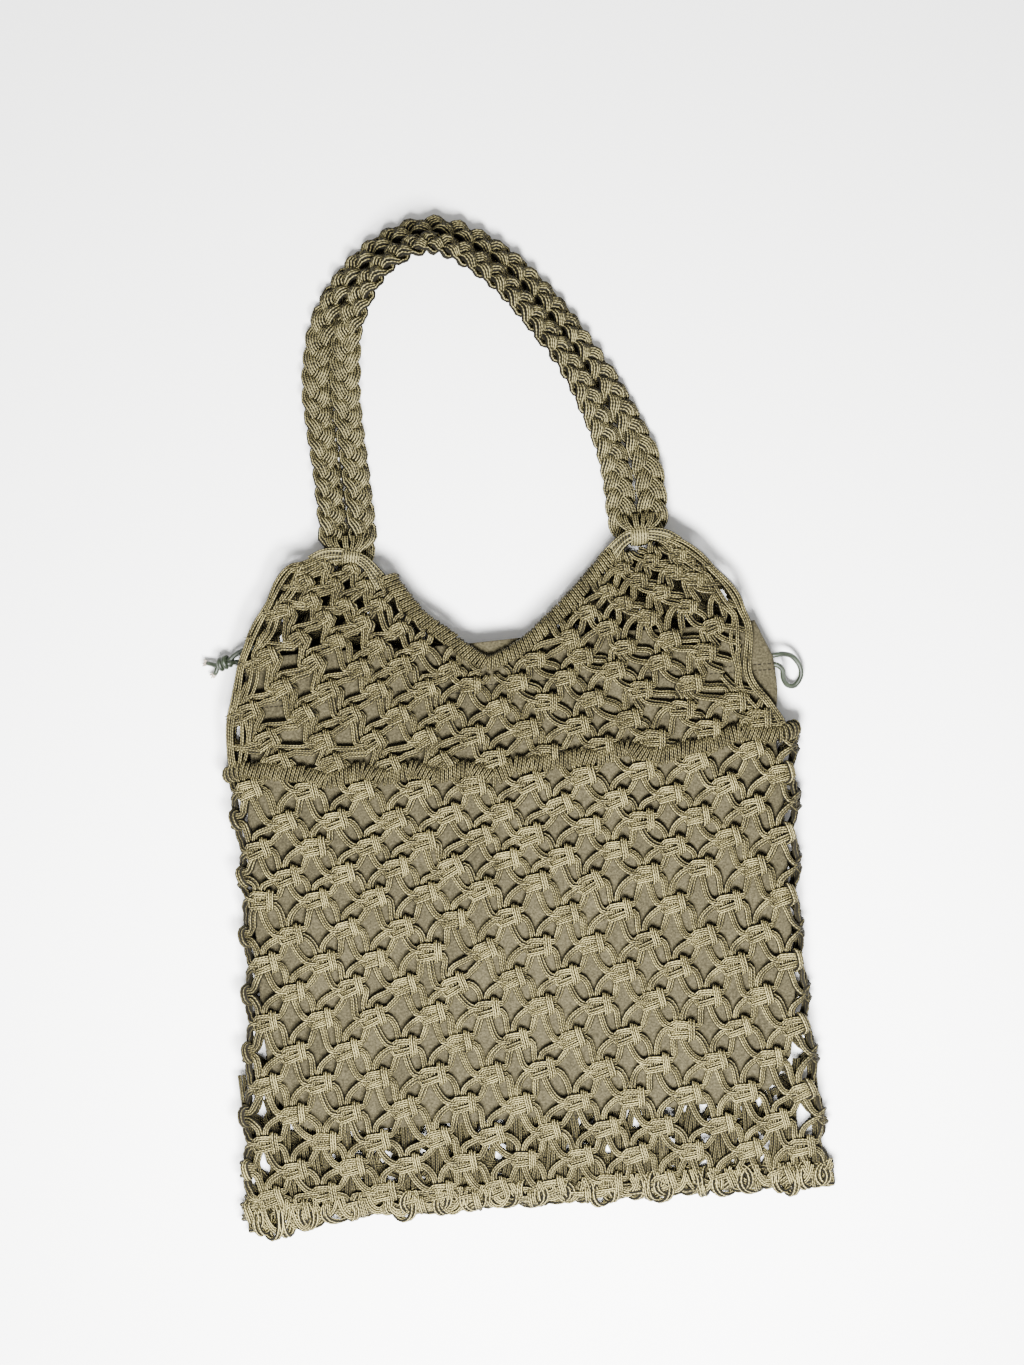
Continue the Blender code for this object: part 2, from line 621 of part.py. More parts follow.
def make_cord(name, route, side, level, material):
    """A round cord along a smooth curve through its route, which starts at the pouch's edge."""
    edge = pouch_side(side, level)
    points = [(edge + side * (out + LINING_WALL / 2), level + up, height) for out, up, height in route]
    line = smooth_line(points, 3)
    curve = bpy.data.curves.new(name, "CURVE")
    curve.dimensions = "3D"
    curve.bevel_depth = DRAWCORD / 2
    curve.bevel_resolution = 2
    curve.use_fill_caps = True
    spline = curve.splines.new("POLY")
    spline.points.add(len(line) - 1)
    for point, (x, y, z) in zip(spline.points, line):
        point.co = (x, y, z, 1.0)
    return add_object(name, curve, material)


def make_drawcord(material):
    """The drawcord's bight on the right, and its two ends tied together on the left."""
    loop_level = LINING_RISE * LOOP_LEVEL
    tie_level = LINING_RISE * TIE_LEVEL
    make_cord("drawcord_loop", DRAWCORD_LOOP, 1, loop_level, material)
    make_cord("drawcord_strand_upper", DRAWCORD_UPPER, -1, tie_level, material)
    make_cord("drawcord_strand_lower", DRAWCORD_LOWER, -1, tie_level, material)
    make_cord("drawcord_tail_long", TAIL_LONG, -1, tie_level, material)
    make_cord("drawcord_tail_short", TAIL_SHORT, -1, tie_level, material)
    out, up, height = DRAWCORD_KNOT_AT
    bpy.ops.mesh.primitive_uv_sphere_add(segments=12, ring_count=8, radius=0.5)
    knot = adopt("drawcord_knot", material)
    flat = DRAWCORD_KNOT * DRAWCORD_KNOT_FLAT
    stretch(knot, (flat, DRAWCORD_KNOT, flat))
    knot.location = (pouch_side(-1, tie_level) - out - LINING_WALL / 2, tie_level + up, height)


def stand_on_origin():
    """Move the bag so that the origin is the middle of its base, cord ends left out."""
    bpy.context.view_layer.update()
    graph = bpy.context.evaluated_depsgraph_get()
    corners = []
    for thing in BAG.objects:
        if not thing.name.startswith("drawcord"):
            solid = thing.evaluated_get(graph)
            mesh = solid.to_mesh()
            places = np.empty(len(mesh.vertices) * 3)
            mesh.vertices.foreach_get("co", places)
            matrix = np.array(thing.matrix_world)
            corners.append(places.reshape(-1, 3) @ matrix[:3, :3].T + matrix[:3, 3])
            solid.to_mesh_clear()
    corners = np.concatenate(corners)
    low, high = corners.min(axis=0), corners.max(axis=0)
    holder = bpy.data.objects.new("bag_origin", None)
    BAG.objects.link(holder)
    for thing in list(BAG.objects):
        if thing is not holder:
            thing.parent = holder
    holder.location = (-(low[0] + high[0]) / 2, -(low[1] + high[1]) / 2, -low[2])
    bpy.context.view_layer.update()
    print("origin moved by", [round(value, 5) for value in holder.location])


def build():
    empty_file()
    cord = finish("macrame_cord", (0.24, 0.22, 0.13), 0.75)
    cotton = finish("lining_cotton", (0.30, 0.28, 0.20), 0.9)
    tie = finish("drawcord", (0.26, 0.29, 0.21), 0.7)
    front = BAG_THICKNESS - CORD_WALL
    make_net(cord)
    make_bottom_edge(cord)
    make_ridge(cord)
    make_yoke("yoke_back", 0.0, cord)
    make_yoke("yoke_front", front, cord)
    make_neck_edge("neck_edge_back", 0.0, cord)
    make_neck_edge("neck_edge_front", front, cord)
    make_foot_knot("strap_knot_left", 0, cord)
    make_foot_knot("strap_knot_right", 1, cord)
    make_plait("strap_plait_outer", 1, cord)
    make_plait("strap_plait_inner", -1, cord)
    make_lining(cotton)
    make_drawcord(tie)
    stand_on_origin()


build()
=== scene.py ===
"""A knotted shoulder bag lying on a pale floor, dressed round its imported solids. Every shape here is
worked out in millimetres in the bag's own frame: y = 0 is the ridge line, x = 0 the bag's middle."""
# %% [markdown]
# # The frame
# The imported solids give the place of everything. They are loaded once, and each visible piece made
# below stands in for one or more of them.

# %% Load the solids
import bpy
import math
import numpy as np
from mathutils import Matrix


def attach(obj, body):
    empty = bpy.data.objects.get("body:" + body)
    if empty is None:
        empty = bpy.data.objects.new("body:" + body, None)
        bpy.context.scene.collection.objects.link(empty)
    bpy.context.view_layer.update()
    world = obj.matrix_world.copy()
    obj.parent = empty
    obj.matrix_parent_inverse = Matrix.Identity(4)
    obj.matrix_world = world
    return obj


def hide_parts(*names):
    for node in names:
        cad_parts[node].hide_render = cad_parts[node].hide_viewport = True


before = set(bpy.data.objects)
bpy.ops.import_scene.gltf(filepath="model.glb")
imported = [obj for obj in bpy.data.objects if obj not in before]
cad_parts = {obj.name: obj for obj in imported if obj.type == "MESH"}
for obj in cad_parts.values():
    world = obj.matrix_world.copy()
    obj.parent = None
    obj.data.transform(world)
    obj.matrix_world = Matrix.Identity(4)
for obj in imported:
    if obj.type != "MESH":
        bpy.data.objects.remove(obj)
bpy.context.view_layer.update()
ORIGIN = np.array([2.75, -24.24, 0.0])      # from the bag's frame to the solids' frame, mm
DICE = np.random.default_rng(11)            # one seeded source for all small irregularities

# %% [markdown]
# # The camera
# The photograph looks straight down on the bag, which lies turned by a few degrees in the picture.
# A long lens, 80 mm at 1.7 m, gives the picture's frame of 570 by 760 mm on the bag's front and
# hardly any difference of scale between the bag's front and its back.

# %% Camera above the bag
TURN = math.radians(4.3)                    # how far the picture is turned on the floor
VIEW_HEIGHT = 0.7600                        # height of the frame on the bag's front, m
VIEW_LEVEL = 0.018                          # that front's height over the floor, m
VIEW_CENTRE = (0.0071, 0.0186)
LENS = 80.0
SENSOR = 36.0
lens = bpy.data.cameras.new("camera")
lens.lens = LENS
lens.sensor_width = SENSOR
camera = bpy.data.objects.new("camera", lens)
camera.location = (*VIEW_CENTRE, VIEW_LEVEL + VIEW_HEIGHT * LENS / SENSOR)
camera.rotation_euler = (0.0, 0.0, -TURN)
bpy.context.scene.collection.objects.link(camera)
bpy.context.scene.camera = camera
print("camera", round(camera.location.z, 3), "m above the floor")

# %% [markdown]
# # Tubes from rings
# Nearly everything here is cord, so one helper does most of the work. It takes the middle line of
# many cords at once, as an array (cords, rings, 3), and puts a ring of points round each place.
# One direction of the ring is given, because a cord that folds over itself would twist if
# the direction were guessed from its line alone.

# %% Rings round lines, and pieces made of them
def unit(vectors):
    """Each vector divided by its own length."""
    return vectors / np.maximum(np.linalg.norm(vectors, axis=-1, keepdims=True), 1e-9)


def spots(x, y, z):
    """Places (..., 3) from three arrays or numbers, stretched to one shape."""
    return np.stack(np.broadcast_arrays(x, y, z), axis=-1)


def ring_points(line, run, side, radius, sides):
    """Ring point = line + radius * (cos t * top + sin t * side), top being side cross run, with t in
    equal steps round the cord."""
    across = unit(side - np.sum(side * run, axis=-1, keepdims=True) * run)
    top = np.cross(across, run)
    turn = np.arange(sides) * 2 * np.pi / sides
    spread = (np.cos(turn)[:, None] * top[..., None, :] + np.sin(turn)[:, None] * across[..., None, :])
    return line[..., None, :] + np.broadcast_to(radius, line.shape[:-1])[..., None, None] * spread


def quads_between(here, there):
    """Faces from rings of point numbers to the rings after them, both (..., sides)."""
    return np.stack([here, np.roll(here, -1, -1), np.roll(there, -1, -1), there], axis=-1).reshape(-1, 4)


def uv_between(start, end, twist, sides):
    """The corners' places on the cord: length along it in mm, and turn round it from 0 to 1."""
    turn = np.arange(sides) / sides + np.asarray(twist)[..., None]
    corners = [np.broadcast_arrays(way[..., None], turn + more)
               for way, more in ((start, 0), (start, 1 / sides), (end, 1 / sides), (end, 0))]
    return np.moveaxis(np.array(corners), (0, 1), (-2, -1)).reshape(-1, 4, 2)


def dress(name, bundle, material, *nodes, painted_shade_height=1.0, slot="cord"):
    """A piece from a bundle of points, faces and corner places in mm, with its used points only, moved
    to the solids' frame in metres. It rides with the bag, takes the finish it is given and stands in
    for solids. slot is not used. The shade height, 0 to 1, says how far each point stands out of the
    net; the cord finish paints shade from it."""
    points, faces, uvs = bundle
    used, numbers = np.unique(faces, return_inverse=True)
    painted_shade_height = np.broadcast_to(painted_shade_height, len(points))[used]
    faces = numbers.reshape(faces.shape)
    points = (points[used] + ORIGIN) / 1000.0
    mesh = bpy.data.meshes.new(name)
    mesh.vertices.add(len(points))
    mesh.vertices.foreach_set("co", points.astype(np.float32).ravel())
    mesh.loops.add(faces.size)
    mesh.loops.foreach_set("vertex_index", faces.astype(np.int32).ravel())
    mesh.polygons.add(len(faces))
    mesh.polygons.foreach_set("loop_start", np.arange(0, faces.size, 4, dtype=np.int32))
    mesh.uv_layers.new(name="cord")
    mesh.update(calc_edges=True)
    mesh.uv_layers["cord"].data.foreach_set("uv", uvs.astype(np.float32).ravel())
    # Each point's height out of the net, which the cord finish turns into painted shade
    painted_shade_layer = mesh.attributes.new("painted_shade_height", "FLOAT", "POINT")
    painted_shade_layer.data.foreach_set("value", painted_shade_height.astype(np.float32))
    mesh.shade_smooth()
    mesh.materials.append(material)
    piece = bpy.data.objects.new(name, mesh)
    bpy.context.scene.collection.objects.link(piece)
    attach(piece, "root")
    if nodes:
        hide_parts(*nodes)
    print(name, "triangles", 2 * len(faces))
    return piece


def smooth_weights(count, stops):
    """Rows that turn count points into places on a smooth curve through them. Each place is the
    Catmull-Rom mix of the four points round it, and the line goes straight on past its ends."""
    eye = np.eye(count)
    padded = np.concatenate([[2 * eye[0] - eye[1]], eye, [2 * eye[-1] - eye[-2]]])
    stops = np.asarray(stops, float)
    first = np.clip(np.floor(stops).astype(int), 0, count - 2)
    t = (stops - first)[:, None]
    a, b, c, d = (padded[first + step] for step in range(4))
    return 0.5 * (2 * b + (c - a) * t + (2 * a - 5 * b + 4 * c - d) * t ** 2 + (3 * b - a - 3 * c + d) * t ** 3)

def smooth_line(points, count):
    """The smooth curve through points at count stops, spread evenly over its spans."""
    points = np.asarray(points, float)
    last = points.shape[-2] - 1
    return smooth_weights(last + 1, np.linspace(0, last, count)) @ points


def lengths_along(line):
    """Length of each line up to each of its places."""
    steps = np.linalg.norm(np.diff(line, axis=-2), axis=-1)
    return np.concatenate([np.zeros_like(steps[..., :1]), np.cumsum(steps, axis=-1)], axis=-1)


def evenly(line, step):
    """A line read again at even steps of its length."""
    way = lengths_along(line)
    stops = np.linspace(0.0, way[-1], int(round(way[-1] / step)) + 1)
    return np.stack([np.interp(stops, way, line[:, axis]) for axis in range(line.shape[1])], axis=1)


def cords(line, radius, side=None, up=(0.0, 0.0, 1.0), sides=6, closed=False):
    """Many cords of one length each in rings: line is (cords, rings, 3). side, where it isn't given,
    is square to the line and to up. Open ends are closed by a last ring drawn in to a point."""
    if side is None:
        side = unit(np.cross(unit(np.gradient(line, axis=1)), up))
    if closed:
        run = np.roll(line, -1, axis=1) - np.roll(line, 1, axis=1)
    else:
        line, side = (np.concatenate([part[:, :1], part, part[:, -1:]], axis=1) for part in (line, side))
        run = np.gradient(line, axis=1)
        run[:, 0], run[:, -1] = run[:, 1], run[:, -2]
    size = np.full(line.shape[:2], float(radius))
    if not closed:
        size[:, 0] = size[:, -1] = 0.0
    rings = ring_points(line, unit(run), side, size, sides)
    ids = np.arange(rings[..., 0].size).reshape(rings.shape[:3])
    way = lengths_along(line)
    if closed:
        ids = np.concatenate([ids, ids[:, :1]], axis=1)
        way = np.concatenate([way, way[:, -1:] + way[:, 1:2]], axis=1)
    return (rings.reshape(-1, 3), quads_between(ids[:, :-1], ids[:, 1:]),
            uv_between(way[:, :-1], way[:, 1:], 0.0, sides))


def join(*bundles):
    """Several bundles of points, faces and corner places as one."""
    shift = np.cumsum([0] + [len(points) for points, _, _ in bundles[:-1]])
    return (np.concatenate([points for points, _, _ in bundles]),
            np.concatenate([faces + more for (_, faces, _), more in zip(bundles, shift)]),
            np.concatenate([uvs for _, _, uvs in bundles]))

# %% [markdown]
# # Finishes
# The bag is knotted from a thin knitted cord. Seen close, such a cord is a small ladder: two light
# rails with a row of dark holes between them, over a darker core. The pattern has to follow the
# cord through its knots, so it is drawn from the cord's own map: length along it and turn round it.

# %% Small helpers for node materials
class Wire:
    """A node's output. Sums and products of wires and numbers make Math nodes in its tree."""

    def __init__(self, socket):
        self.socket, self.tree = socket, socket.id_data

    def __add__(self, other):
        return maths("ADD", self, other)

    def __sub__(self, other):
        return maths("SUBTRACT", self, other)

    def __rsub__(self, other):
        return maths("SUBTRACT", other, self)

    def __mul__(self, other):
        return maths("MULTIPLY", self, other)


def node(tree, kind, **settings):
    made = tree.nodes.new(kind)
    for key, value in settings.items():
        setattr(made, key, value)
    return made


def maths(operation, *values):
    """A Math node. Numbers are typed into its sockets and wires are linked to them."""
    tree = [value for value in values if isinstance(value, Wire)][0].tree
    made = node(tree, "ShaderNodeMath", operation=operation)
    for socket, value in zip(made.inputs, values):
        if isinstance(value, Wire):
            tree.links.new(value.socket, socket)
        else:
            socket.default_value = value
    return Wire(made.outputs[0])


def ramp(factor, *stops):
    """A colour ramp: (place, colour or grey) pairs, linear in between."""
    made = node(factor.tree, "ShaderNodeValToRGB")
    elements = made.color_ramp.elements
    while len(elements) < len(stops):
        elements.new(0.5)
    for element, (place, colour) in zip(elements, stops):
        element.position = place
        element.color = (*(colour if isinstance(colour, tuple) else (colour,) * 3), 1.0)
    factor.tree.links.new(factor.socket, made.inputs["Fac"])
    return Wire(made.outputs["Color"])


def cloudy(tree, scale, detail=3.0):
    """Soft noise over the object's own coordinates, scale in patches per metre."""
    noise = node(tree, "ShaderNodeTexNoise")
    noise.inputs["Scale"].default_value = scale
    noise.inputs["Detail"].default_value = detail
    tree.links.new(node(tree, "ShaderNodeTexCoord").outputs["Object"], noise.inputs["Vector"])
    return Wire(noise.outputs["Fac"])


def cord_map(tree):
    """The piece's own map: length along a cord in mm and turn round it, or both ways on the cloth."""
    split = node(tree, "ShaderNodeSeparateXYZ")
    tree.links.new(node(tree, "ShaderNodeUVMap", uv_map="cord").outputs["UV"], split.inputs[0])
    return Wire(split.outputs[0]), Wire(split.outputs[1])


def new_finish(name, roughness, gloss=0.12):
    """A material and its shader, with the two settings that are the same all over."""
    material = bpy.data.materials.new(name)
    material.use_nodes = True
    shader = material.node_tree.nodes["Principled BSDF"]
    shader.inputs["Roughness"].default_value = roughness
    shader.inputs["Specular IOR Level"].default_value = gloss
    return material, shader


def paint(shader, colour, height, strength, distance):
    """Give a shader its colour, and a bump by height that is so strong over a distance in metres."""
    links = colour.tree.links
    bump = node(colour.tree, "ShaderNodeBump")
    bump.inputs["Strength"].default_value = strength
    bump.inputs["Distance"].default_value = distance
    links.new(colour.socket, shader.inputs["Base Color"])
    links.new(height.socket, bump.inputs["Height"])
    links.new(bump.outputs["Normal"], shader.inputs["Normal"])


# %% Knitted cord
STITCH = 1.8                                # length of one stitch, mm


def cord_finish(name, light, middle, dark):
    """Knitted cord. fold = distance from the nearest ladder, 0 on its row of holes and 1 on the flank.
    The rails are light where fold is near a third, and the holes are dark once per stitch. The flank
    falls to painted shade, and the brightest stitches reach a painted highlight. Where the cord stands
    out it is painted paler, and down between the others it gets painted shade."""
    material, shader = new_finish(name, 0.8)
    tree = material.node_tree
    along, turn = cord_map(tree)
    half = maths("FRACT", turn * 2.0)
    fold = maths("MINIMUM", half, 1.0 - half) * 2.0
    hole = maths("ABSOLUTE", maths("FRACT", along * (1 / STITCH)) - 0.5) * 2.0
    # Light on the rails, falling to painted shade on the flank
    rail_and_flank_shade = ramp(fold, (0.0, 0), (0.18, 0), (0.26, 0.8), (0.43, 0.85), (0.54, 0.5), (0.68, 0.05), (1.0, 0))
    rung = ramp(hole, (0.0, 0), (0.45, 0), (0.75, 0.5), (1.0, 0.6))
    on_row = ramp(fold, (0.0, 1), (0.20, 1), (0.32, 0))
    ply = maths("SINE", along * (2 * math.pi / STITCH) + turn * (4 * math.pi))
    relief = maths("MAXIMUM", rail_and_flank_shade, rung * on_row)
    ripple = ply * 0.22 + (cloudy(tree, 150.0) - 0.5)
    relief = relief + ripple * (relief * 0.9)
    # Painted shade and light: darker where the cord lies low in the net, paler where it stands out; the top
    # stop, five times light, is a painted highlight that the ripple lifts some stitches into
    painted_shade_height = Wire(node(tree, "ShaderNodeAttribute", attribute_name="painted_shade_height").outputs["Fac"])
    colour = ramp(relief * (painted_shade_height * 0.45 + 0.65), (0.0, dark), (0.38, middle), (0.66, light),
                  (1.0, tuple(5.0 * value for value in light)))
    paint(shader, colour, relief, 0.8, 0.0005)
    return material


NET_CORD = cord_finish("net_cord", (0.066, 0.056, 0.0235), (0.014, 0.0115, 0.0045), (0.003, 0.0024, 0.001))
print("finish", NET_CORD.name)

# %% [markdown]
# # The drawcord
# The pouch closes with a thin cord. On the right its loop stands out of the hem, and on the left
# its two ends come out and are tied together in an overhand knot. The cords are real lengths, so
# they are made before the rest.

# %% Loop on the right and knotted ends on the left
DRAWCORD = 3.0                              # its thickness, mm
RING_STEP = 0.7


def satin_finish(name, light, dark):
    """A shiny braided cord: fine slanting ribs, dark green-grey with pale streaks."""
    material, shader = new_finish(name, 0.38, 0.30)
    along, turn = cord_map(material.node_tree)
    way, turn = along * (2 * math.pi / 0.9), turn * (6 * math.pi)
    weave = maths("SINE", way + turn) * maths("SINE", way - turn) * 0.25
    streak = weave + cloudy(material.node_tree, 260.0, 2.0)
    paint(shader, ramp(streak, (0.25, dark), (0.85, light)), weave, 0.4, 0.0003)
    return material


def drawcord(name, route, far_end, *nodes):
    """A cord along a smooth line through its route, with a ring every 0.7 mm."""
    line = evenly(smooth_line(route, 12 * len(route)), RING_STEP)
    bundle = cords(line[None], DRAWCORD / 2, up=(0.13, 0.21, 0.97), sides=12)
    piece = dress(name, bundle, TIE_CORD, *nodes, slot="drawcord")


TIE_CORD = satin_finish("tie_cord", (0.026, 0.034, 0.020), (0.004, 0.0055, 0.003))
TIE_TIP = satin_finish("tie_tip", (0.42, 0.36, 0.29), (0.16, 0.13, 0.10))
LOOP = np.array((
    (148.0, 47.0, 12.0), (152.5, 47.2, 12.0), (157.0, 47.4, 10.8), (162.0, 45.6, 8.2), (166.0, 40.0, 5.6),
    (166.2, 34.2, 4.2), (162.6, 29.4, 3.8), (158.2, 30.0, 5.2), (156.0, 34.2, 8.0), (155.6, 38.8, 10.6),
    (152.6, 41.6, 12.0), (148.0, 42.0, 12.0)))
drawcord("drawcord_loop_cord", LOOP, "object", "drawcord_loop")

# The first end runs straight through the knot, and the second is wound twice and a half round it
TIE_START = np.array((-152.6, 67.2, 8.4))
TIE_END = np.array((-159.0, 64.8, 6.4))
TIE_TURNS = 2.5
TIE_REACH = 2.75
TIE_RINGS = 26
TIE_FROM = 2.2                              # the angle at which the coil starts
first_end = np.array((
    (-128.0, 72.6, 12.0), (-134.0, 72.6, 12.0), (-140.0, 72.6, 12.0), (-144.5, 72.0, 11.0), (-149.0, 70.0, 9.4),
    TIE_START, TIE_END, (-162.8, 65.8, 5.0), (-165.4, 66.6, 3.4)))
axis = unit(TIE_END - TIE_START)
sideways = unit(np.cross(axis, (0.0, 0.0, 1.0)))
upwards = np.cross(sideways, axis)
angle = np.linspace(0.0, 2 * np.pi * TIE_TURNS, TIE_RINGS)[:, None] + TIE_FROM
coil = (TIE_START + (TIE_END - TIE_START) * np.linspace(0.02, 0.98, TIE_RINGS)[:, None]
        + TIE_REACH * (np.cos(angle) * sideways + np.sin(angle) * upwards))
second_end = np.concatenate([
    ((-128.0, 65.0, 12.0), (-134.0, 65.0, 12.0), (-140.0, 65.0, 12.0), (-144.5, 65.2, 10.6),
     (-148.6, 65.8, 8.2)),
    coil, ((-160.6, 61.8, 4.6), (-161.6, 60.4, 3.6))])
drawcord("drawcord_end_first", first_end, "knot",
         "drawcord_strand_upper", "drawcord_knot", "drawcord_tail_long")
drawcord("drawcord_end_second", second_end, "knot", "drawcord_strand_lower", "drawcord_tail_short")


def frayed(name, tip, before):
    """Loose threads at a cord's cut end: short lines that start inside it and spread by an angle
    drawn for each."""
    run = unit(tip - before)
    count, steps, thread = 26, 5, 0.38
    level = unit(np.cross(run, (0.0, 0.0, 1.0)))
    rise = np.cross(level, run)
    turn, spread = DICE.uniform(0, 2 * np.pi, (count, 1, 1)), DICE.uniform(0.2, 1.0, (count, 1, 1))
    out = np.cos(turn) * level + np.sin(turn) * rise
    t = np.linspace(0, 1, steps)[None, :, None]
    reach = DICE.uniform(2.2, 3.8, (count, 1, 1))
    line = tip - 0.8 * run + out * spread * (1.0 + 1.3 * t ** 1.5) + run * reach * t
    line[..., 2] = np.maximum(line[..., 2], 0.6)
    dress(name, cords(line, thread, up=out, sides=5), TIE_TIP, slot="drawcord")


frayed("frayed_tip_first", first_end[-1], first_end[-2])
frayed("frayed_tip_second", second_end[-1], second_end[-2])

# %% [markdown]
# # The knot
# The net is made of square knots in staggered rows, and every cord in it is double. Four double
# cords meet in a knot. The right one crosses over the two middle ones to the left, turns and
# crosses back, which makes the two bars. The left one goes behind and comes up on the right as the
# upright bump. The two middle ones only pass through. The routes below are one such knot, in mm
# from the middle of its bump: across, up, and height over the back of the net.

# %% Routes of the four double cords through a knot
ROUTE_OVER = ((3.5, 2.3, 2.6), (0.0, 1.9, 4.0), (-4.5, 2.1, 5.2), (-8.6, 1.6, 4.6), (-11.0, -1.4, 1.9),
              (-9.4, -4.9, 3.8), (-4.6, -3.3, 5.2), (0.0, -2.0, 4.1), (3.2, -1.9, 3.0))
ROUTE_BEHIND = ((-11.8, -0.4, 3.7), (-7.8, -0.5, 2.2), (-4.2, 1.0, 0.9), (-1.4, 3.4, 1.4), (-0.6, 4.9, 3.9),
                (-0.5, 3.3, 6.4), (0.2, 0.0, 6.9), (0.9, -3.2, 6.3), (0.6, -5.1, 3.7), (-1.4, -4.3, 1.3),
                (-5.0, -2.6, 0.9), (-9.0, -2.0, 2.2), (-12.0, -2.3, 3.2))
ROUTE_LEFT = ((-8.7, 5.4, 2.4), (-7.6, 1.5, 2.9), (-6.8, -2.2, 2.9), (-7.6, -5.4, 2.5))
ROUTE_RIGHT = ((-5.3, 5.4, 2.4), (-4.8, 1.5, 2.9), (-4.7, -2.0, 2.9), (-3.9, -5.0, 2.5))
# For each cord: its route, where rings stand on it, its direction in and out, the cord that it
# becomes in the next knot, on which side that knot is, and how many rings lead there
KNOT = {
    "over": (ROUTE_OVER, (0, 1, 2, 3, 3.5, 4, 4.5, 5, 6, 7, 8),
             (-2.8, -2.6, 1.2), (3.6, -1.4, -0.8), "left", 1, 3),
    "behind": (ROUTE_BEHIND, (0, 1, 2, 3, 3.6, 4.2, 4.8, 5.4, 6, 6.8, 7.5, 8.1, 8.8, 9.5, 10.4, 11.2, 12),
               (4.0, -0.3, -0.6), (-4.0, -1.7, -0.2), "right", -1, 4),
    "left": (ROUTE_LEFT, (0, 1, 2, 3), (0.8, -4.0, 0.4), (-2.2, -3.4, -0.2), "over", -1, 3),
    "right": (ROUTE_RIGHT, (0, 1, 2, 3), (0.4, -4.0, 0.4), (1.6, -3.8, -0.2), "behind", 1, 5),
}
PAIR_FLAT = 0.82        # how far each cord of a pair lies to the side of their middle line
PAIR_STACK = 0.65       # and how far over or under it
CORD_RADIUS = 1.26
SIDES = 6


def placed(points, knots):
    """Knot's own mm to the net's: turned by the knot's lean, scaled and moved. (knots, points, 3)."""
    x, y, h = np.asarray(points, float).T
    s, up, lean, grow = (knots[key][:, None] for key in ("s", "y", "lean", "grow"))
    cos, sin = np.cos(lean), np.sin(lean)
    return spots(s + grow * (x * cos - y * sin), up + grow * (x * sin + y * cos), h * grow ** 0.5)


def pointed(direction, knots):
    """A direction of the knot's own, turned and scaled as the knot is."""
    x, y, h = direction
    cos, sin = np.cos(knots["lean"]), np.sin(knots["lean"])
    return spots(x * cos - y * sin, x * sin + y * cos, h) * knots["grow"][:, None]


def link(start, leave, end, arrive, steps):
    """A curve from start to end that leaves and arrives in given directions: the cubic Hermite
    curve, its two pulls as long as the gap asks."""
    gap = np.linalg.norm(end - start, axis=-1, keepdims=True)
    leave, arrive = unit(leave) * gap * 0.95, unit(arrive) * gap * 0.95
    t = ((np.arange(steps) + 1) / (steps + 1))[None, :, None]
    mix = ((1 + 2 * t) * (1 - t) ** 2, t * (1 - t) ** 2, t * t * (3 - 2 * t), t * t * (t - 1))
    return sum(share * part[:, None] for share, part in zip(mix, (start, leave, end, arrive)))


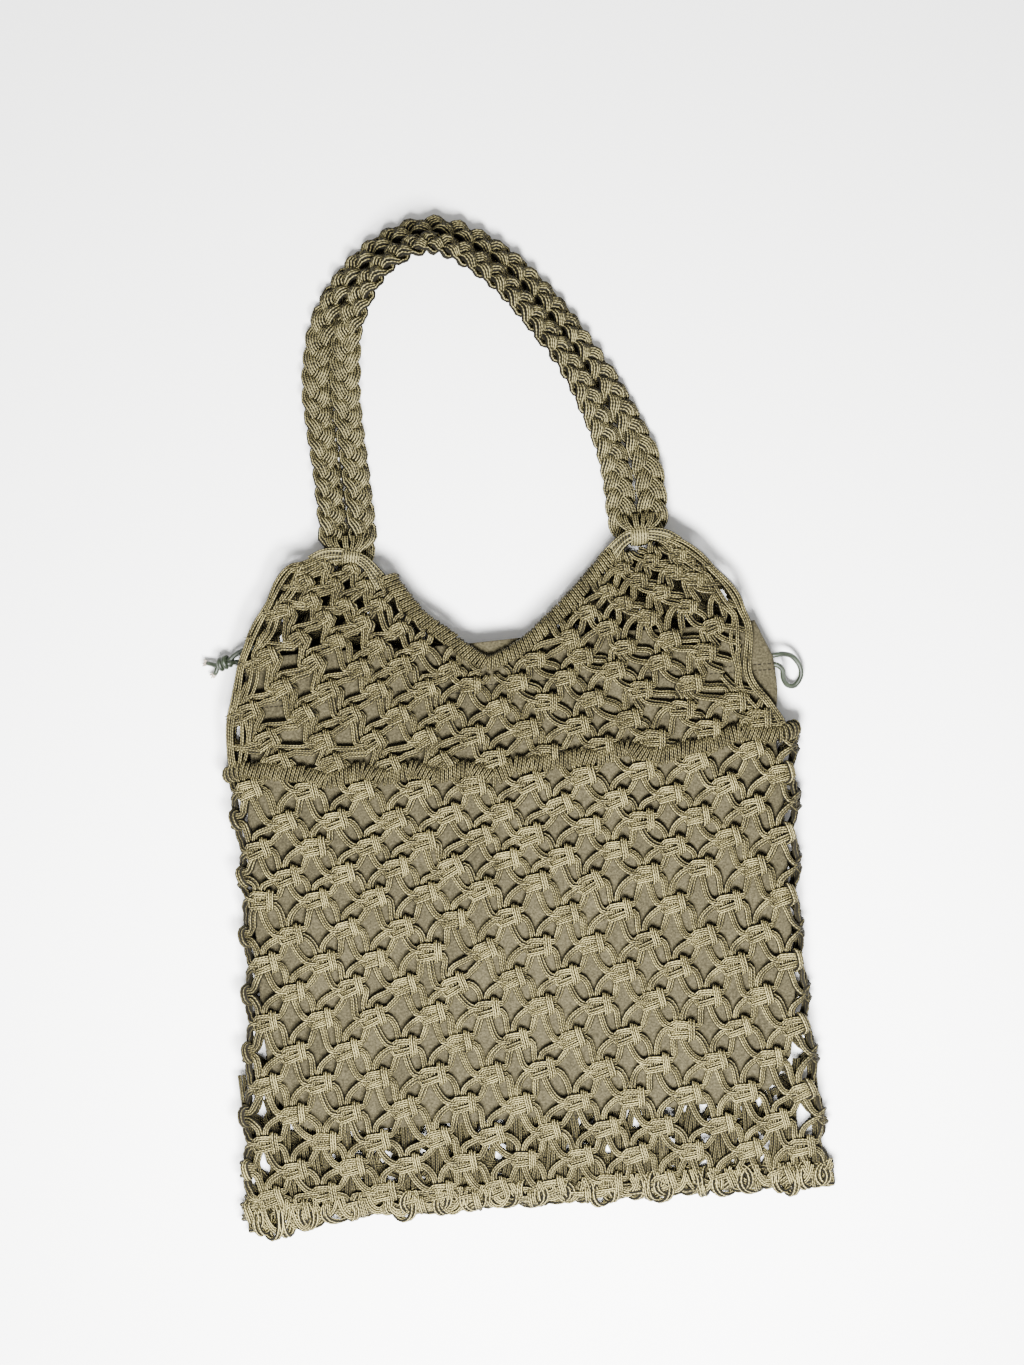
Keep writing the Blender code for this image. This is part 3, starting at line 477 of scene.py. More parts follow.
def knotted(knots, children, surface, allowed):
    """All cords of a net as points, faces and corner places.
    knots: arrays s, y, lean, grow and kept. children: numbers of the knot below left (-1) and below
    right (1) of each, -1 for none, and their own s when the net goes round. surface turns (s, y, h)
    into a place, a way up and a way across. allowed says which places may hold cord."""
    places, ways, kept, numbers, points, faces, uvs, base = {}, {}, {}, {}, [], [], [], 0
    for name, (route, stops, enter, leave, becomes, side, steps) in KNOT.items():
        own = placed(route, knots)
        before = own[:, 1:2] - 2 * pointed(enter, knots)[:, None]
        after = own[:, -2:-1] + 2 * pointed(leave, knots)[:, None]
        weights = smooth_weights(len(route) + 2, np.asarray(stops, float) + 1)
        body = weights @ np.concatenate([before, own, after], axis=1)
        child, shift = children[side]
        below = {key: knots[key][child] for key in ("s", "y", "lean", "grow")}
        below["s"] = below["s"] + shift
        port = placed(KNOT[becomes][0][:1], below)
        reach = link(body[:, -1], pointed(leave, knots), port[:, 0], pointed(KNOT[becomes][2], below), steps)
        line = np.concatenate([body, reach, port], axis=1)
        # Between two knots the cords lie low on the net and wave a little
        line[:, len(stops):-1, 2] = 2.6 + 0.5 * np.sin(np.arange(steps) * 1.9 + 0.7)
        place, up, across = surface(*np.moveaxis(line, -1, 0))
        run = unit(np.gradient(place, axis=1))
        lay = unit(np.cross(run, up))
        if name == "behind":
            t = np.concatenate([stops, np.full(steps + 1, 12.0)])
            share = np.interp(t, (2, 3.6, 8.1, 10.4), (0, 1, 1, 0))[:, None]
            lay = unit(lay * (1 - share) + across * np.cos(knots["lean"])[:, None, None] * share)
        number = np.arange(line.shape[1])
        tight = 1.0 * ((number > 0) & (number < len(stops) - 1))
        ok = knots["kept"][:, None] | (number >= len(stops))
        ok = ok & allowed(line[..., 0], line[..., 1]) & (child >= 0)[:, None]
        across = unit(lay - np.sum(lay * run, axis=-1, keepdims=True) * run)
        aside = (PAIR_FLAT * (1 + 0.16 * tight)[:, None] * across
                 + PAIR_STACK * (1 - 0.35 * tight)[:, None] * np.cross(across, run))
        size = np.where(ok, CORD_RADIUS, 0.0)[:, :-1]
        places[name], ways[name], kept[name] = place, lengths_along(place), ok
        for twin in (1, -1):
            rings = ring_points((place + twin * aside)[:, :-1], run[:, :-1], across[:, :-1], size, SIDES)
            numbers[name, twin] = base + np.arange(rings[..., 0].size).reshape(rings.shape[:3])
            points.append(rings.reshape(-1, 3))
            base += len(points[-1])
    for name, (_, _, _, _, becomes, side, _) in KNOT.items():
        child, ok, way = children[side][0], kept[name], ways[name]
        pair = ok[:, :-1] | np.concatenate([ok[:, 1:-1], kept[becomes][child, :1]], axis=1)
        for twin in (1, -1):
            ids = numbers[name, twin]
            there = np.concatenate([ids[:, 1:], numbers[becomes, twin][child, :1]], axis=1)
            twist = 0.05 * np.sin(places[name][:, :-1, 0] / 9.0 + places[name][:, :-1, 1] / 13.0 + twin)
            faces.append(quads_between(ids, there).reshape(*pair.shape, SIDES, 4)[pair].reshape(-1, 4))
            uvs.append(uv_between(way[:, :-1], way[:, 1:], twist, SIDES)
                       .reshape(*pair.shape, SIDES, 4, 2)[pair].reshape(-1, 4, 2))
    return np.concatenate(points), np.concatenate(faces), np.concatenate(uvs)


print("rings on the double cords of one knot:", sum(len(row[1]) + row[6] for row in KNOT.values()))

# %% [markdown]
# # The bag's form
# Below the ridge the net is a flat tube: a front, a back and two rounded sides, closed at the
# bottom. A place on it is given by the way round the tube, the height y and the height off the
# net's inner face, so that one rule lays out front, sides and back alike.

# %% The tube of the body
NET_WIDTH = 324.0
THICKNESS = 24.0
FOOT_THICKNESS = 14.0
NET_DROP = 251.0
WALL = 6.5                 # from the outside of the solids to the net's inner face
WALL_MIDDLE = 3.0          # and to the line along which the columns are counted
EDGE_DOWN = 243.0          # where the net starts to curl round the bottom edge
NET_OUTLINE = np.array(((0.00, 0.990, 1.005), (0.16, 0.970, 0.990), (0.40, 0.975, 0.975),
                        (0.60, 0.995, 0.980), (0.80, 1.030, 1.000), (1.00, 1.050, 1.015)))
RIDGE_LINE = np.array((
    (-1.00, 0.15), (-0.93, 0.58), (-0.82, 0.35), (-0.71, 0.05), (-0.63, -0.42), (-0.51, 0.08),
    (-0.43, -0.45), (-0.34, -0.02), (-0.26, -0.55), (-0.14, -0.25), (-0.06, -0.95), (0.01, -0.28),
    (0.15, -0.26), (0.23, -0.04), (0.30, -0.28), (0.40, 0.25), (0.48, -0.30), (0.54, -0.38),
    (0.60, -0.10), (0.68, -0.08), (0.79, 0.65), (0.86, 0.45), (0.93, 0.25), (1.00, 0.60)))
COLUMNS = 21


def ridge_y(x):
    """How far the ridge wanders up or down at x."""
    return 10.0 * np.interp(np.asarray(x) / (NET_WIDTH / 2), RIDGE_LINE[:, 0], RIDGE_LINE[:, 1])


def thickness_at(down):
    """The flat tube's thickness, which shrinks to the foot's over the last fifth of 240 mm."""
    return THICKNESS - (THICKNESS - FOOT_THICKNESS) * np.clip((down / 240.0 - 0.80) / 0.20, 0.0, 1.0)


def around(way, down, height):
    """Place, outward direction and direction of the way on the flat tube. way counts columns from
    the middle of the left side over the front. Two straight runs join two half circles, whose
    radius is the half thickness less the wall, plus the height; past the bottom edge the outward
    direction tips down."""
    share = np.clip(down / NET_DROP, 0.0, 1.0)
    left = -NET_WIDTH / 2 * np.interp(share, NET_OUTLINE[:, 0], NET_OUTLINE[:, 1])
    right = NET_WIDTH / 2 * np.interp(share, NET_OUTLINE[:, 0], NET_OUTLINE[:, 2])
    thick = thickness_at(down)
    start, radius = left + thick / 2, thick / 2 - WALL_MIDDLE
    quarter, straight = np.pi * radius / 2, right - thick / 2 - start
    t = np.mod(way / COLUMNS, 1.0) * (2 * straight + 4 * quarter)
    turned = (np.clip(t, 0, quarter) + np.clip(t - quarter - straight, 0, 2 * quarter)
              + np.clip(t - 3 * quarter - 2 * straight, 0, quarter))
    angle = np.pi - turned / radius
    centre = start + np.clip(t - quarter, 0, straight) - np.clip(t - 3 * quarter - straight, 0, straight)
    tip = np.clip((down - EDGE_DOWN) / 4.5, 0.0, 2.0)
    out = spots(np.cos(angle) * np.cos(tip), -np.sin(tip), np.sin(angle) * np.cos(tip))
    middle = spots(centre, -np.minimum(down, EDGE_DOWN), thick / 2)
    place = middle + (thick / 2 - WALL + height)[..., None] * out
    return place, out, spots(np.sin(angle), 0.0, -np.cos(angle))


PITCH = 31.19              # one column at the ridge, mm
BACK_ASIDE, BACK_DOWN = 20.0, 3.5           # how far the back's knots are moved, mm
ROW_DOWN = (-3.0, 12.5, 27.0, 41.0, 54.5, 69.5, 86.5, 104.0, 120.5, 137.5, 155.0, 172.5, 190.0, 207.0, 222.5,
            238.0, 246.5, 256.0)
ROW_BOW = (5e-4, 4.5e-4, 3e-4, 2e-4, 1e-4)
rows, places = np.meshgrid(np.arange(len(ROW_DOWN)), np.arange(COLUMNS), indexing="ij")
rows, places = rows.ravel(), places.ravel()
half = np.where(rows % 2 == 1, 0.673, 1.163)        # an odd row stands half a column further left
drop = np.asarray(ROW_DOWN)[rows]
spot, _, _ = around(places + half, drop, np.zeros(len(rows)))
fall = np.interp(rows, (0, 3, 6, 9, 12, 15, 17), (0.0, 0.012, 0.0, -0.018, -0.026, -0.036, -0.03))
bow = np.interp(rows, range(5), ROW_BOW) * (rows < 6)


def eased(value):
    """0 below 0, 1 above 1, and a smooth step between."""
    value = np.clip(value, 0.0, 1.0)
    return value * value * (3 - 2 * value)


# The back's knots are moved sideways and a little down, to lie behind the gaps of the front
on_back = eased((places + half - 10.5) / 2.5) * eased((21.0 - places - half) / 2.5)
sunk = BACK_DOWN * on_back * np.interp(rows, (1, 4, 14, 16), (0.0, 1.0, 1.0, 0.0))
body_knots = {
    "s": (places + half) * PITCH + BACK_ASIDE * on_back + DICE.normal(0, 0.7, len(rows)),
    "y": fall * spot[:, 0] + bow * spot[:, 0] ** 2 - drop - sunk + DICE.normal(0, 0.6, len(rows)),
    "lean": DICE.normal(0.0, 0.09, len(rows)),
    "grow": DICE.normal(1.0, 0.035, len(rows)),
    "kept": (rows > 0) & (rows < len(ROW_DOWN) - 1),
}


def staggered(row, column, down_side):
    """Number of the knot below to the left or right in the closed net, and its shift when the net
    has gone once round."""
    below = column - row % 2 + (down_side > 0)
    lap = np.floor_divide(below, COLUMNS)
    number = (row + 1) * COLUMNS + below - lap * COLUMNS
    return np.where(row + 1 < len(ROW_DOWN), number, -1), lap * COLUMNS * PITCH


def painted_shade_height_of(points):
    """0 on the net's inner face to 1 at 7 mm over it, in front and behind: (|z - half thickness| -
    half thickness + wall) / 7. The cord finish paints shade from it: dark low down, paler high up."""
    thick = thickness_at(-points[:, 1])
    return np.clip((np.abs(points[:, 2] - thick / 2) - thick / 2 + WALL) / 7.0, 0.0, 1.0)


def pressed(h):
    """How much of a knot's height is lost where it lies on the floor: 0.4 of what is over 3.4 mm."""
    return 0.4 * np.clip(h - 3.4, 0.0, None)


def body_surface(s, y, h):
    place, out, along = around(s / PITCH, -y, h)
    lost = pressed(h) * np.clip(-out[..., 2], 0.0, 1.0)
    return place - lost[..., None] * out, out, along


def body_allowed(s, y):
    place, _, _ = around(s / PITCH, -y, np.zeros_like(s))
    return (y < ridge_y(place[..., 0]) - 0.5) & (-y < EDGE_DOWN + 9.0)


children = {side: staggered(rows, places, side) for side in (-1, 1)}
points, faces, uvs = knotted(body_knots, children, body_surface, body_allowed)
middle = points[faces[:, 0]]
is_front = middle[:, 2] > 12.0 - 0.1 * np.maximum(-middle[:, 1] - 192.0, 0.0)
is_upper = middle[:, 1] > -128.0
# Each net piece gets painted shade by how far its cords stand out of the net
for name, mask in (("net_front_upper", is_front & is_upper), ("net_front_lower", is_front & ~is_upper),
                   ("net_back_upper", ~is_front & is_upper), ("net_back_lower", ~is_front & ~is_upper)):
    dress(name, (points, faces[mask], uvs[mask]), NET_CORD, "net_body", painted_shade_height=painted_shade_height_of(points))

# %% [markdown]
# # The bottom edge
# Front and back are knotted together along the bottom. Doubled cords are slung round the edge
# every which way, and some stand out of it as small loops.

# %% Cords round the bottom edge
EDGE_LINE = np.array((
    (-1.04, 0.75), (-1.00, 1.30), (-0.93, 1.55), (-0.86, 1.60), (-0.80, 1.25), (-0.73, 0.80),
    (-0.66, 1.00), (-0.58, 0.78), (-0.50, 1.00), (-0.41, 0.90), (-0.33, 1.05), (-0.24, 0.72),
    (-0.15, 0.90), (-0.07, 0.72), (0.02, 1.00), (0.10, 0.82), (0.19, 1.05), (0.28, 0.85),
    (0.37, 1.00), (0.46, 0.80), (0.54, 0.95), (0.62, 0.74), (0.70, 0.95), (0.78, 0.78),
    (0.86, 1.00), (0.94, 0.84), (1.00, 0.75)))


def edge_low(x):
    """Height of the edge's lowest line at x."""
    return -240.0 - 11.0 * np.interp(x / 162.0, EDGE_LINE[:, 0], EDGE_LINE[:, 1])


def edge_slings():
    """Pairs of closed turns round the edge: x = own place + slant * sin t, y = from 237 mm down to the
    edge's lowest line by cos t, z = half thickness + 5.6 mm * sin t, with every fifth turn longer."""
    count, rings = 46, 16
    x = np.linspace(-164.0, 161.0, count) + DICE.normal(0, 1.2, count)
    low = edge_low(x) + 0.8 - 3.0 * np.clip(x / 160.0, 0.0, 1.0)
    low = low - np.where(np.arange(count) % 5 == 2, 2.4, 0.0) + DICE.normal(0, 0.5, count)
    high = -237.0 + DICE.normal(0, 1.0, count)
    slant = np.where(np.arange(count) % 2 == 0, 6.0, -5.0) + DICE.normal(0, 2.0, count)
    x, low, high, slant = (value[:, None] for value in (x, low, high, slant))
    t = np.arange(rings) * 2 * np.pi / rings
    cos, sin = np.cos(t), np.sin(t)
    line = np.concatenate([
        spots(np.clip(x + slant * sin + twin, -165.0, 163.0),
              (high + low) / 2 + (low - high) / 2 * cos + 0.2 * twin,
              7.0 + 5.6 * sin * (0.75 + 0.25 * np.abs(sin))) for twin in (-1.15, 1.15)])
    run = np.roll(line, -1, axis=1) - np.roll(line, 1, axis=1)
    out = line - line.mean(axis=1, keepdims=True)
    return cords(line, CORD_RADIUS, side=unit(np.cross(unit(run), unit(out))), closed=True)


def edge_swags():
    """Pairs that hang between the knots of the last row, in front and behind: a parabola whose
    depth is drawn for each, rising off the net in its middle."""
    count, rings = 23, 12
    x = (np.linspace(-152.0, 152.0, count) + DICE.normal(0, 2.0, count))[:, None]
    span = DICE.uniform(6.5, 9.0, (count, 1))
    depth = -238.0 - edge_low(x) + DICE.uniform(-4.0, -0.5, (count, 1))
    t = np.linspace(-1, 1, rings)
    line = np.concatenate([
        spots(x + face * 3.0 + t * (span - 0.6 * twin) + DICE.normal(0, 0.6, (count, 1)),
              -238.0 - depth * (1 - t ** 2) ** 0.7 + twin, 7.0 + face * (5.8 - 2.6 * (1 - t ** 2)))
        for face in (1, -1) for twin in (0.0, 2.2)])
    return cords(line, CORD_RADIUS)


dress("bottom_cords", join(edge_slings(), edge_swags()), NET_CORD, "bottom_edge")


# %% [markdown]
# Inside the bag the cords' ends are tucked up from the bottom edge, out of the way. They are what
# one sees through the lowest rows, below the lining.

# %% Tucked ends
def tucked_ends():
    """Pairs that climb from the bottom edge: x = own place + slant * t + bow * sin(pi t), y from 241 mm
    down to a height drawn for each, and z from the foot's middle to just under the lining."""
    count, rings = 60, 11
    x = np.linspace(-156.0, 157.0, count) + DICE.normal(0, 1.0, count)
    slant, bow = DICE.normal(0.0, 5.0, count), DICE.normal(0.0, 3.0, count)
    top = -193.0 + 28.0 * np.clip((np.abs(x) - 140.0) / 12.0, 0.0, 1.0) + DICE.normal(0, 3.0, count)
    x, slant, bow, top = (value[:, None] for value in (x, slant, bow, top))
    t = np.linspace(0, 1, rings)
    line = np.concatenate([
        spots(x + slant * t + bow * np.sin(np.pi * t) + twin, -241.0 - 0.036 * x * (1 - t) + (top + 241.0) * t,
              7.0 + 3.2 * t) for twin in (-1.2, 1.2)])
    return cords(line, CORD_RADIUS)


# The tucked ends get a deep painted shade, as cords low inside the bag
dress("tucked_ends", tucked_ends(), NET_CORD, painted_shade_height=0.1)

# %% [markdown]
# # The yoke
# Above the ridge the front and the back are two flat panels of the same knots. Their rows draw
# together and bend up towards the strap, and the V of the neck is cut out of them, so the rows are
# laid out wider than the panel, and only cord inside the panel's outline is kept.

# %% Outline of a yoke panel
YOKE_RISE = 114.0
NECK_SPAN = 124.0
NECK_DROP = 55.0
YOKE_LEFT = np.array(((0.10, -0.955), (0.30, -0.945), (0.45, -0.915), (0.58, -0.890), (0.69, -0.855),
                      (0.83, -0.795), (1.00, -0.715), (1.035, -0.650)))
YOKE_RIGHT = np.array(((0.09, 0.940), (0.18, 0.900), (0.32, 0.840), (0.54, 0.850), (0.64, 0.835),
                       (0.75, 0.800), (0.87, 0.735), (0.94, 0.670)))
NECK_LINE = np.array(((-0.96, 0.130), (-0.88, 0.290), (-0.71, 0.560), (-0.52, 0.735), (-0.34, 0.930),
                      (-0.15, 1.070), (0.00, 1.040), (0.19, 0.930), (0.37, 0.780), (0.62, 0.540),
                      (0.92, 0.210), (1.04, 0.080)))
neck_line = np.stack([NECK_LINE[:, 0] * NECK_SPAN / 2, YOKE_RISE - NECK_LINE[:, 1] * NECK_DROP], axis=1)
side_left = np.stack([YOKE_LEFT[:, 1] * NET_WIDTH / 2, YOKE_LEFT[:, 0] * YOKE_RISE], axis=1)
side_right = np.stack([YOKE_RIGHT[:, 1] * NET_WIDTH / 2, YOKE_RIGHT[:, 0] * YOKE_RISE], axis=1)
low_x = np.linspace(-153.0, 151.0, 60)
low_edge = np.stack([low_x, ridge_y(low_x) + 0.5], axis=1)
outline = np.concatenate([low_edge, side_right, [(99.0, 116.0), (63.0, 116.0)], neck_line[::-1],
                          [(-64.0, 112.0), (-99.0, 120.0)], side_left[::-1]])


def in_outline(x, y):
    """Whether places lie in the outline: an odd number of its edges passes to their right."""
    odd = np.zeros(np.shape(x), bool)
    for (ax, ay), (bx, by) in zip(outline, np.roll(outline, -1, axis=0)):
        spans = (ay > y) != (by > y)
        odd ^= spans & (ax + (y - ay) * (bx - ax) / (by - ay if by != ay else 1.0) > x)
    return odd


# %% Rows of the yoke
# height at the middle, bend upwards, pitch, shift to the right, push outwards beside the neck
YOKE_ROWS = np.array((
    (-11.5, 5.0e-4, 30.6, -4.9, 0.0), (2.2, 4.7e-4, 30.0, -4.9, 0.0), (15.8, 4.5e-4, 28.9, 0.3, 0.0),
    (30.0, 4.5e-4, 27.2, -2.1, 0.0), (42.8, 6.0e-4, 26.3, -1.5, 0.0), (53.5, 9.5e-4, 24.9, -2.5, 0.0),
    (64.5, 1.1e-3, 22.4, -0.8, 8.6), (75.5, 1.3e-3, 20.3, -1.0, 12.5), (86.0, 1.2e-3, 18.5, -0.5, 17.5),
    (96.5, 1.1e-3, 16.5, 0.0, 22.0), (107.0, 1.0e-3, 15.0, 0.0, 26.0)))
YOKE_REACH = 7
INNER = 17.5               # height of the net's inner face over the floor, in front


def yoke_lattice():
    """Rows counted up from the ridge, columns -7 to 7 in halves: even rows stand on halves."""
    row, step = np.meshgrid(np.arange(len(YOKE_ROWS)), np.arange(2 * YOKE_REACH), indexing="ij")
    row, step = (value.ravel() for value in np.indices((len(YOKE_ROWS), 2 * YOKE_REACH)))
    column = step - YOKE_REACH + np.where(row % 2 == 0, 0.5, 0.0)
    height, bend, pitch, shift, push = YOKE_ROWS[row].T
    x = column * pitch + shift + np.clip(column, -1, 1) * push
    children = {}
    for side, offset in ((-1, 0), (1, 1)):
        child = step - row % 2 + offset
        good = (row > 0) & (child >= 0) & (child < 2 * YOKE_REACH)
        children[side] = (np.where(good, (row - 1) * 2 * YOKE_REACH + child, -1), np.zeros(len(row)))
    return row, x, height + bend * x ** 2, pitch / 31.0, children


def yoke_panel(name, side, *nodes):
    """A yoke panel. side is 1 in front, and -1 for the back, which is laid out as seen from behind."""
    row, x, y, grow, children = yoke_lattice()
    knots = {"s": x + DICE.normal(0, 0.6, len(x)), "y": y + DICE.normal(0, 0.6, len(x)),
             "lean": DICE.normal(0.0, 0.10, len(x)) - 0.0016 * x, "grow": grow * DICE.normal(1.0, 0.03, len(x))}
    keep = row > 0
    for dx, dy in ((2.5, 0.0), (-9.0, 0.0), (-4.0, 3.0), (-4.0, -3.0)):
        keep &= in_outline(side * (x + dx), y + dy)
    knots["kept"] = keep

    def surface(s, y, h):
        height = INNER + h if side > 0 else THICKNESS - INNER - h + pressed(h)
        place = spots(side * s, y, height)
        return (place, *(np.broadcast_to(way, place.shape) for way in ((0.0, 0.0, side), (side, 0.0, 0.0))))

    bundle = knotted(knots, children, surface, lambda s, y: in_outline(side * s, y))
    print(name, "knots", int(keep.sum()))
    # The yoke's cords get painted shade by their height, with at most 0.7 of the body's painted paleness
    dress(name, bundle, NET_CORD, *nodes, painted_shade_height=0.7 * painted_shade_height_of(bundle[0]))


yoke_panel("yoke_front_knots", 1, "yoke_front")
yoke_panel("yoke_back_knots", -1, "yoke_back")

# %% [markdown]
# # Wrapped bars
# The ridge and the neck are finished with cord wrapped closely round a core, each turn a little
# aslant. One turn is an ellipse round the core's line, drawn out along it at the top and bottom.

# %% Ridge and neck
WRAP_STEP = 2.35
WRAP_RADIUS = 1.14


def wraps(middle, along, across, up, half_wide, half_high, slant, radius=WRAP_RADIUS, rings=12):
    """Turns of cord round a core: point = middle + across * half_wide * cos t + up * half_high *
    sin t + along * slant * cos t. middle and the directions are (turns, 3)."""
    t = (np.arange(rings) * 2 * np.pi / rings)[:, None]
    shape = middle.shape
    middle, along, across, up = (
        np.broadcast_to(part, shape)[:, None] for part in (middle, along, across, up))
    wide, high, lean = (
        np.broadcast_to(value, shape[0])[:, None, None] for value in (half_wide, half_high, slant))
    line = middle + across * wide * np.cos(t) + up * high * np.sin(t) + along * lean * np.cos(t)
    return cords(line, radius, side=np.broadcast_to(along, line.shape), closed=True)


stops = np.linspace(0, COLUMNS, 1200)
ring, _, _ = around(stops, np.zeros_like(stops), np.full_like(stops, 3.4))
ring[:, 1] = ridge_y(ring[:, 0])
ring = evenly(ring, WRAP_STEP)[:-1]
run = unit(np.roll(ring, -1, axis=0) - np.roll(ring, 1, axis=0))
centre = spots(np.clip(ring[:, 0], -148.0, 150.0), ring[:, 1], THICKNESS / 2)
out = ring - centre
out[:, 1] = 0
out = unit(out)
across = unit(np.cross(out, run))
swell = 1.0 + 0.10 * DICE.normal(0, 1, len(ring))
bundle = wraps(ring + across * DICE.normal(0, 0.25, len(ring))[:, None], run, across, out,
               3.9 * swell ** 0.5, 2.9, 1.0 + 0.25 * DICE.normal(0, 1, len(ring)))
# The ridge's turns get one middling level of painted shade
dress("ridge_wraps", bundle, NET_CORD, "ridge_band", painted_shade_height=0.35)

for face, level in (("front", 21.0), ("back", 3.0)):
    core = evenly(smooth_line(neck_line, 120), WRAP_STEP)
    core = spots(*core.T, level)
    facing = np.sign(level - THICKNESS / 2)
    run, up = unit(np.gradient(core, axis=0)), (0.0, 0.0, facing)
    bundle = wraps(core, run, np.cross(up, run), up, 3.4 * (1 + 0.06 * DICE.normal(0, 1, len(core))), 2.3,
                   facing * (1.0 + 0.25 * DICE.normal(0, 1, len(core))))
    # The neck's turns get the same middling painted shade
    dress(f"neck_wraps_{face}", bundle, NET_CORD, f"neck_edge_{face}", painted_shade_height=0.35)

# %% [markdown]
# # The edges of the yoke
# Where the knots stop at the sides, their outer cords run on as long floats from the ridge to the
# strap. They lie side by side on the edge and hold the rows' ends under them.

# %% Floats along both sides, front and back
EDGE_LEFT = np.concatenate([[(-152.5, 3.0)], side_left[:-1], [(-106.5, 117.2), (-96.0, 120.2), (-86.0, 118.0)]])
EDGE_RIGHT = np.concatenate([[(152.5, 4.0)], side_right[:-1], [(106.0, 111.5), (98.0, 116.0), (89.0, 117.5)]])
PINCHES = (6.0, 41.5, 73.0, 97.0, 119.0)        # heights where an edge knot gathers the floats
FLOAT_BOWS = ((-0.6, 0.9, -0.9), (1.7, 0.6, 0.3), (4.1, -2.6, 0.4), (6.0, -3.9, -0.2))


def floats(name, height):
    """Cords along each side edge. Each runs at its own inset from the edge's line and bows further in
    or out between two pinches: inset - bow * sin(pi * share of the way from one to the next)."""
    bundle = []
    for edge, sign in ((EDGE_LEFT, 1), (EDGE_RIGHT, -1)):
        path = smooth_line(edge, 70)
        run = unit(np.gradient(path, axis=0))
        inward = np.stack([run[:, 1], -run[:, 0]], axis=1) * sign
        share = np.interp(path[:, 1], PINCHES, range(len(PINCHES)))
        bow = np.abs(np.sin(np.pi * share))
        taper = np.clip((path[-1, 0] - path[:, 0]) * sign / 14.0, 0.0, 1.0)
        lines = []
        for number, (inset, bulge, rise) in enumerate(FLOAT_BOWS):
            offset = (inset - bulge * bow) * taper + 0.25 * np.sin(share * 5 + number * 2)
            lift = height + (rise + 0.3 * np.cos(share * 7 + number)) * np.sign(height - THICKNESS / 2)
            lines.append(spots(*(path + inward * offset[:, None]).T, lift))
        bundle.append(cords(np.stack(lines), CORD_RADIUS))
    # The floats get one middling level of painted shade
    dress(name, join(*bundle), NET_CORD, painted_shade_height=0.5)


floats("yoke_floats_front", 20.6)
floats("yoke_floats_back", 3.4)

# %% [markdown]
# # The strap
# Two flat plaits lie side by side, each of three strands, each strand a ribbon of five cords. A
# plaited strand swings from side to side once while it goes over and under twice. Over the top of
# the arch the strap rolls nearly onto its edge, and the inner plait rides up on the outer one.

# %% The strap's line
STRAP_SPAN = 162.0
STRAP_REACH = 164.0
PLAIT_WIDTH = 17.5
PLAIT_THICKNESS = 13.0
PLAIT_GAP = 0.3
LEAF = 11.2                                # length of a strand's swing to one side
STRAP_STEP = 1.9
FOOT_TILT = math.radians(12.0)
# across and up as shares of span and reach, and the roll in degrees
STRAP_LINE = np.array((
    (-0.99, 0.115, 0), (-1.01, 0.270, 0), (-1.04, 0.520, 6), (-1.035, 0.655, 14),
    (-0.95, 0.850, 34), (-0.68, 1.030, 50), (-0.28, 1.105, 52), (0.11, 1.010, 48),
    (0.41, 0.850, 46), (0.71, 0.620, 42), (0.92, 0.385, 26), (0.995, 0.235, 6), (1.005, 0.115, 0)))
feet = (np.array([-STRAP_SPAN / 2, YOKE_RISE]), np.array([STRAP_SPAN / 2, YOKE_RISE]))
foot_up = (np.array([math.sin(FOOT_TILT), math.cos(FOOT_TILT)]), np.array([0.0, 1.0]))
strap = np.column_stack([STRAP_LINE[:, 0] * STRAP_SPAN / 2, YOKE_RISE + STRAP_LINE[:, 1] * STRAP_REACH,
                         STRAP_LINE[:, 2]])
strap[0, :2] = feet[0] + foot_up[0] * 2.0
strap[-1, :2] = feet[1] + foot_up[1] * 2.0
strap = smooth_line(strap, 400)
# The roll is scaled away for a moment, so that the steps are even on the floor
strap = evenly(strap * (1, 1, 1e-6), STRAP_STEP) * (1, 1, 1e6)
run = unit(np.gradient(strap[:, :2], axis=0))
outward = np.stack([-run[:, 1], run[:, 0]], axis=1)
roll = np.radians(strap[:, 2])
wide = np.column_stack([outward * np.cos(roll)[:, None], -np.sin(roll)])
thick = np.column_stack([outward * np.sin(roll)[:, None], np.cos(roll)])
# Each plait is an ellipse in section: the height at which the lower of the two just lies on the floor
half_up = PLAIT_THICKNESS / 2 * np.cos(roll)
lowest = ((PLAIT_WIDTH + PLAIT_GAP) / 2 * np.sin(roll)
          + np.maximum(PLAIT_WIDTH / 2 * np.sin(roll) + 0.38 * half_up, half_up))
way = np.arange(len(strap)) * STRAP_STEP
height = lowest + (THICKNESS / 2 - lowest) * eased(1.0 - np.minimum(way, way[::-1]) / 60.0)
strap_line = np.column_stack([strap[:, :2], height])
print("strap line", round(float(way[-1])), "mm")

# %% Plaits
STRANDS = 3
RIBBON = 5
RIBBON_STEP = 1.55
STRAP_RADIUS = 1.28
CORE = (-3.6, -1.2, 1.2, 3.6)              # sideways places of the straight cords in the middle
OWN_ROLL = math.radians(30.0)              # each plait about its own line, on the left leg
own_roll = OWN_ROLL * (1.0 - eased((way - 60.0) / 120.0))
draw_in = 0.78 + 0.22 * eased(np.minimum(way, way[::-1]) / 16.0)     # narrower at the feet
leaf_wide = wide * np.cos(own_roll)[:, None] + thick * np.sin(own_roll)[:, None]
leaf_thick = thick * np.cos(own_roll)[:, None] - wide * np.sin(own_roll)[:, None]


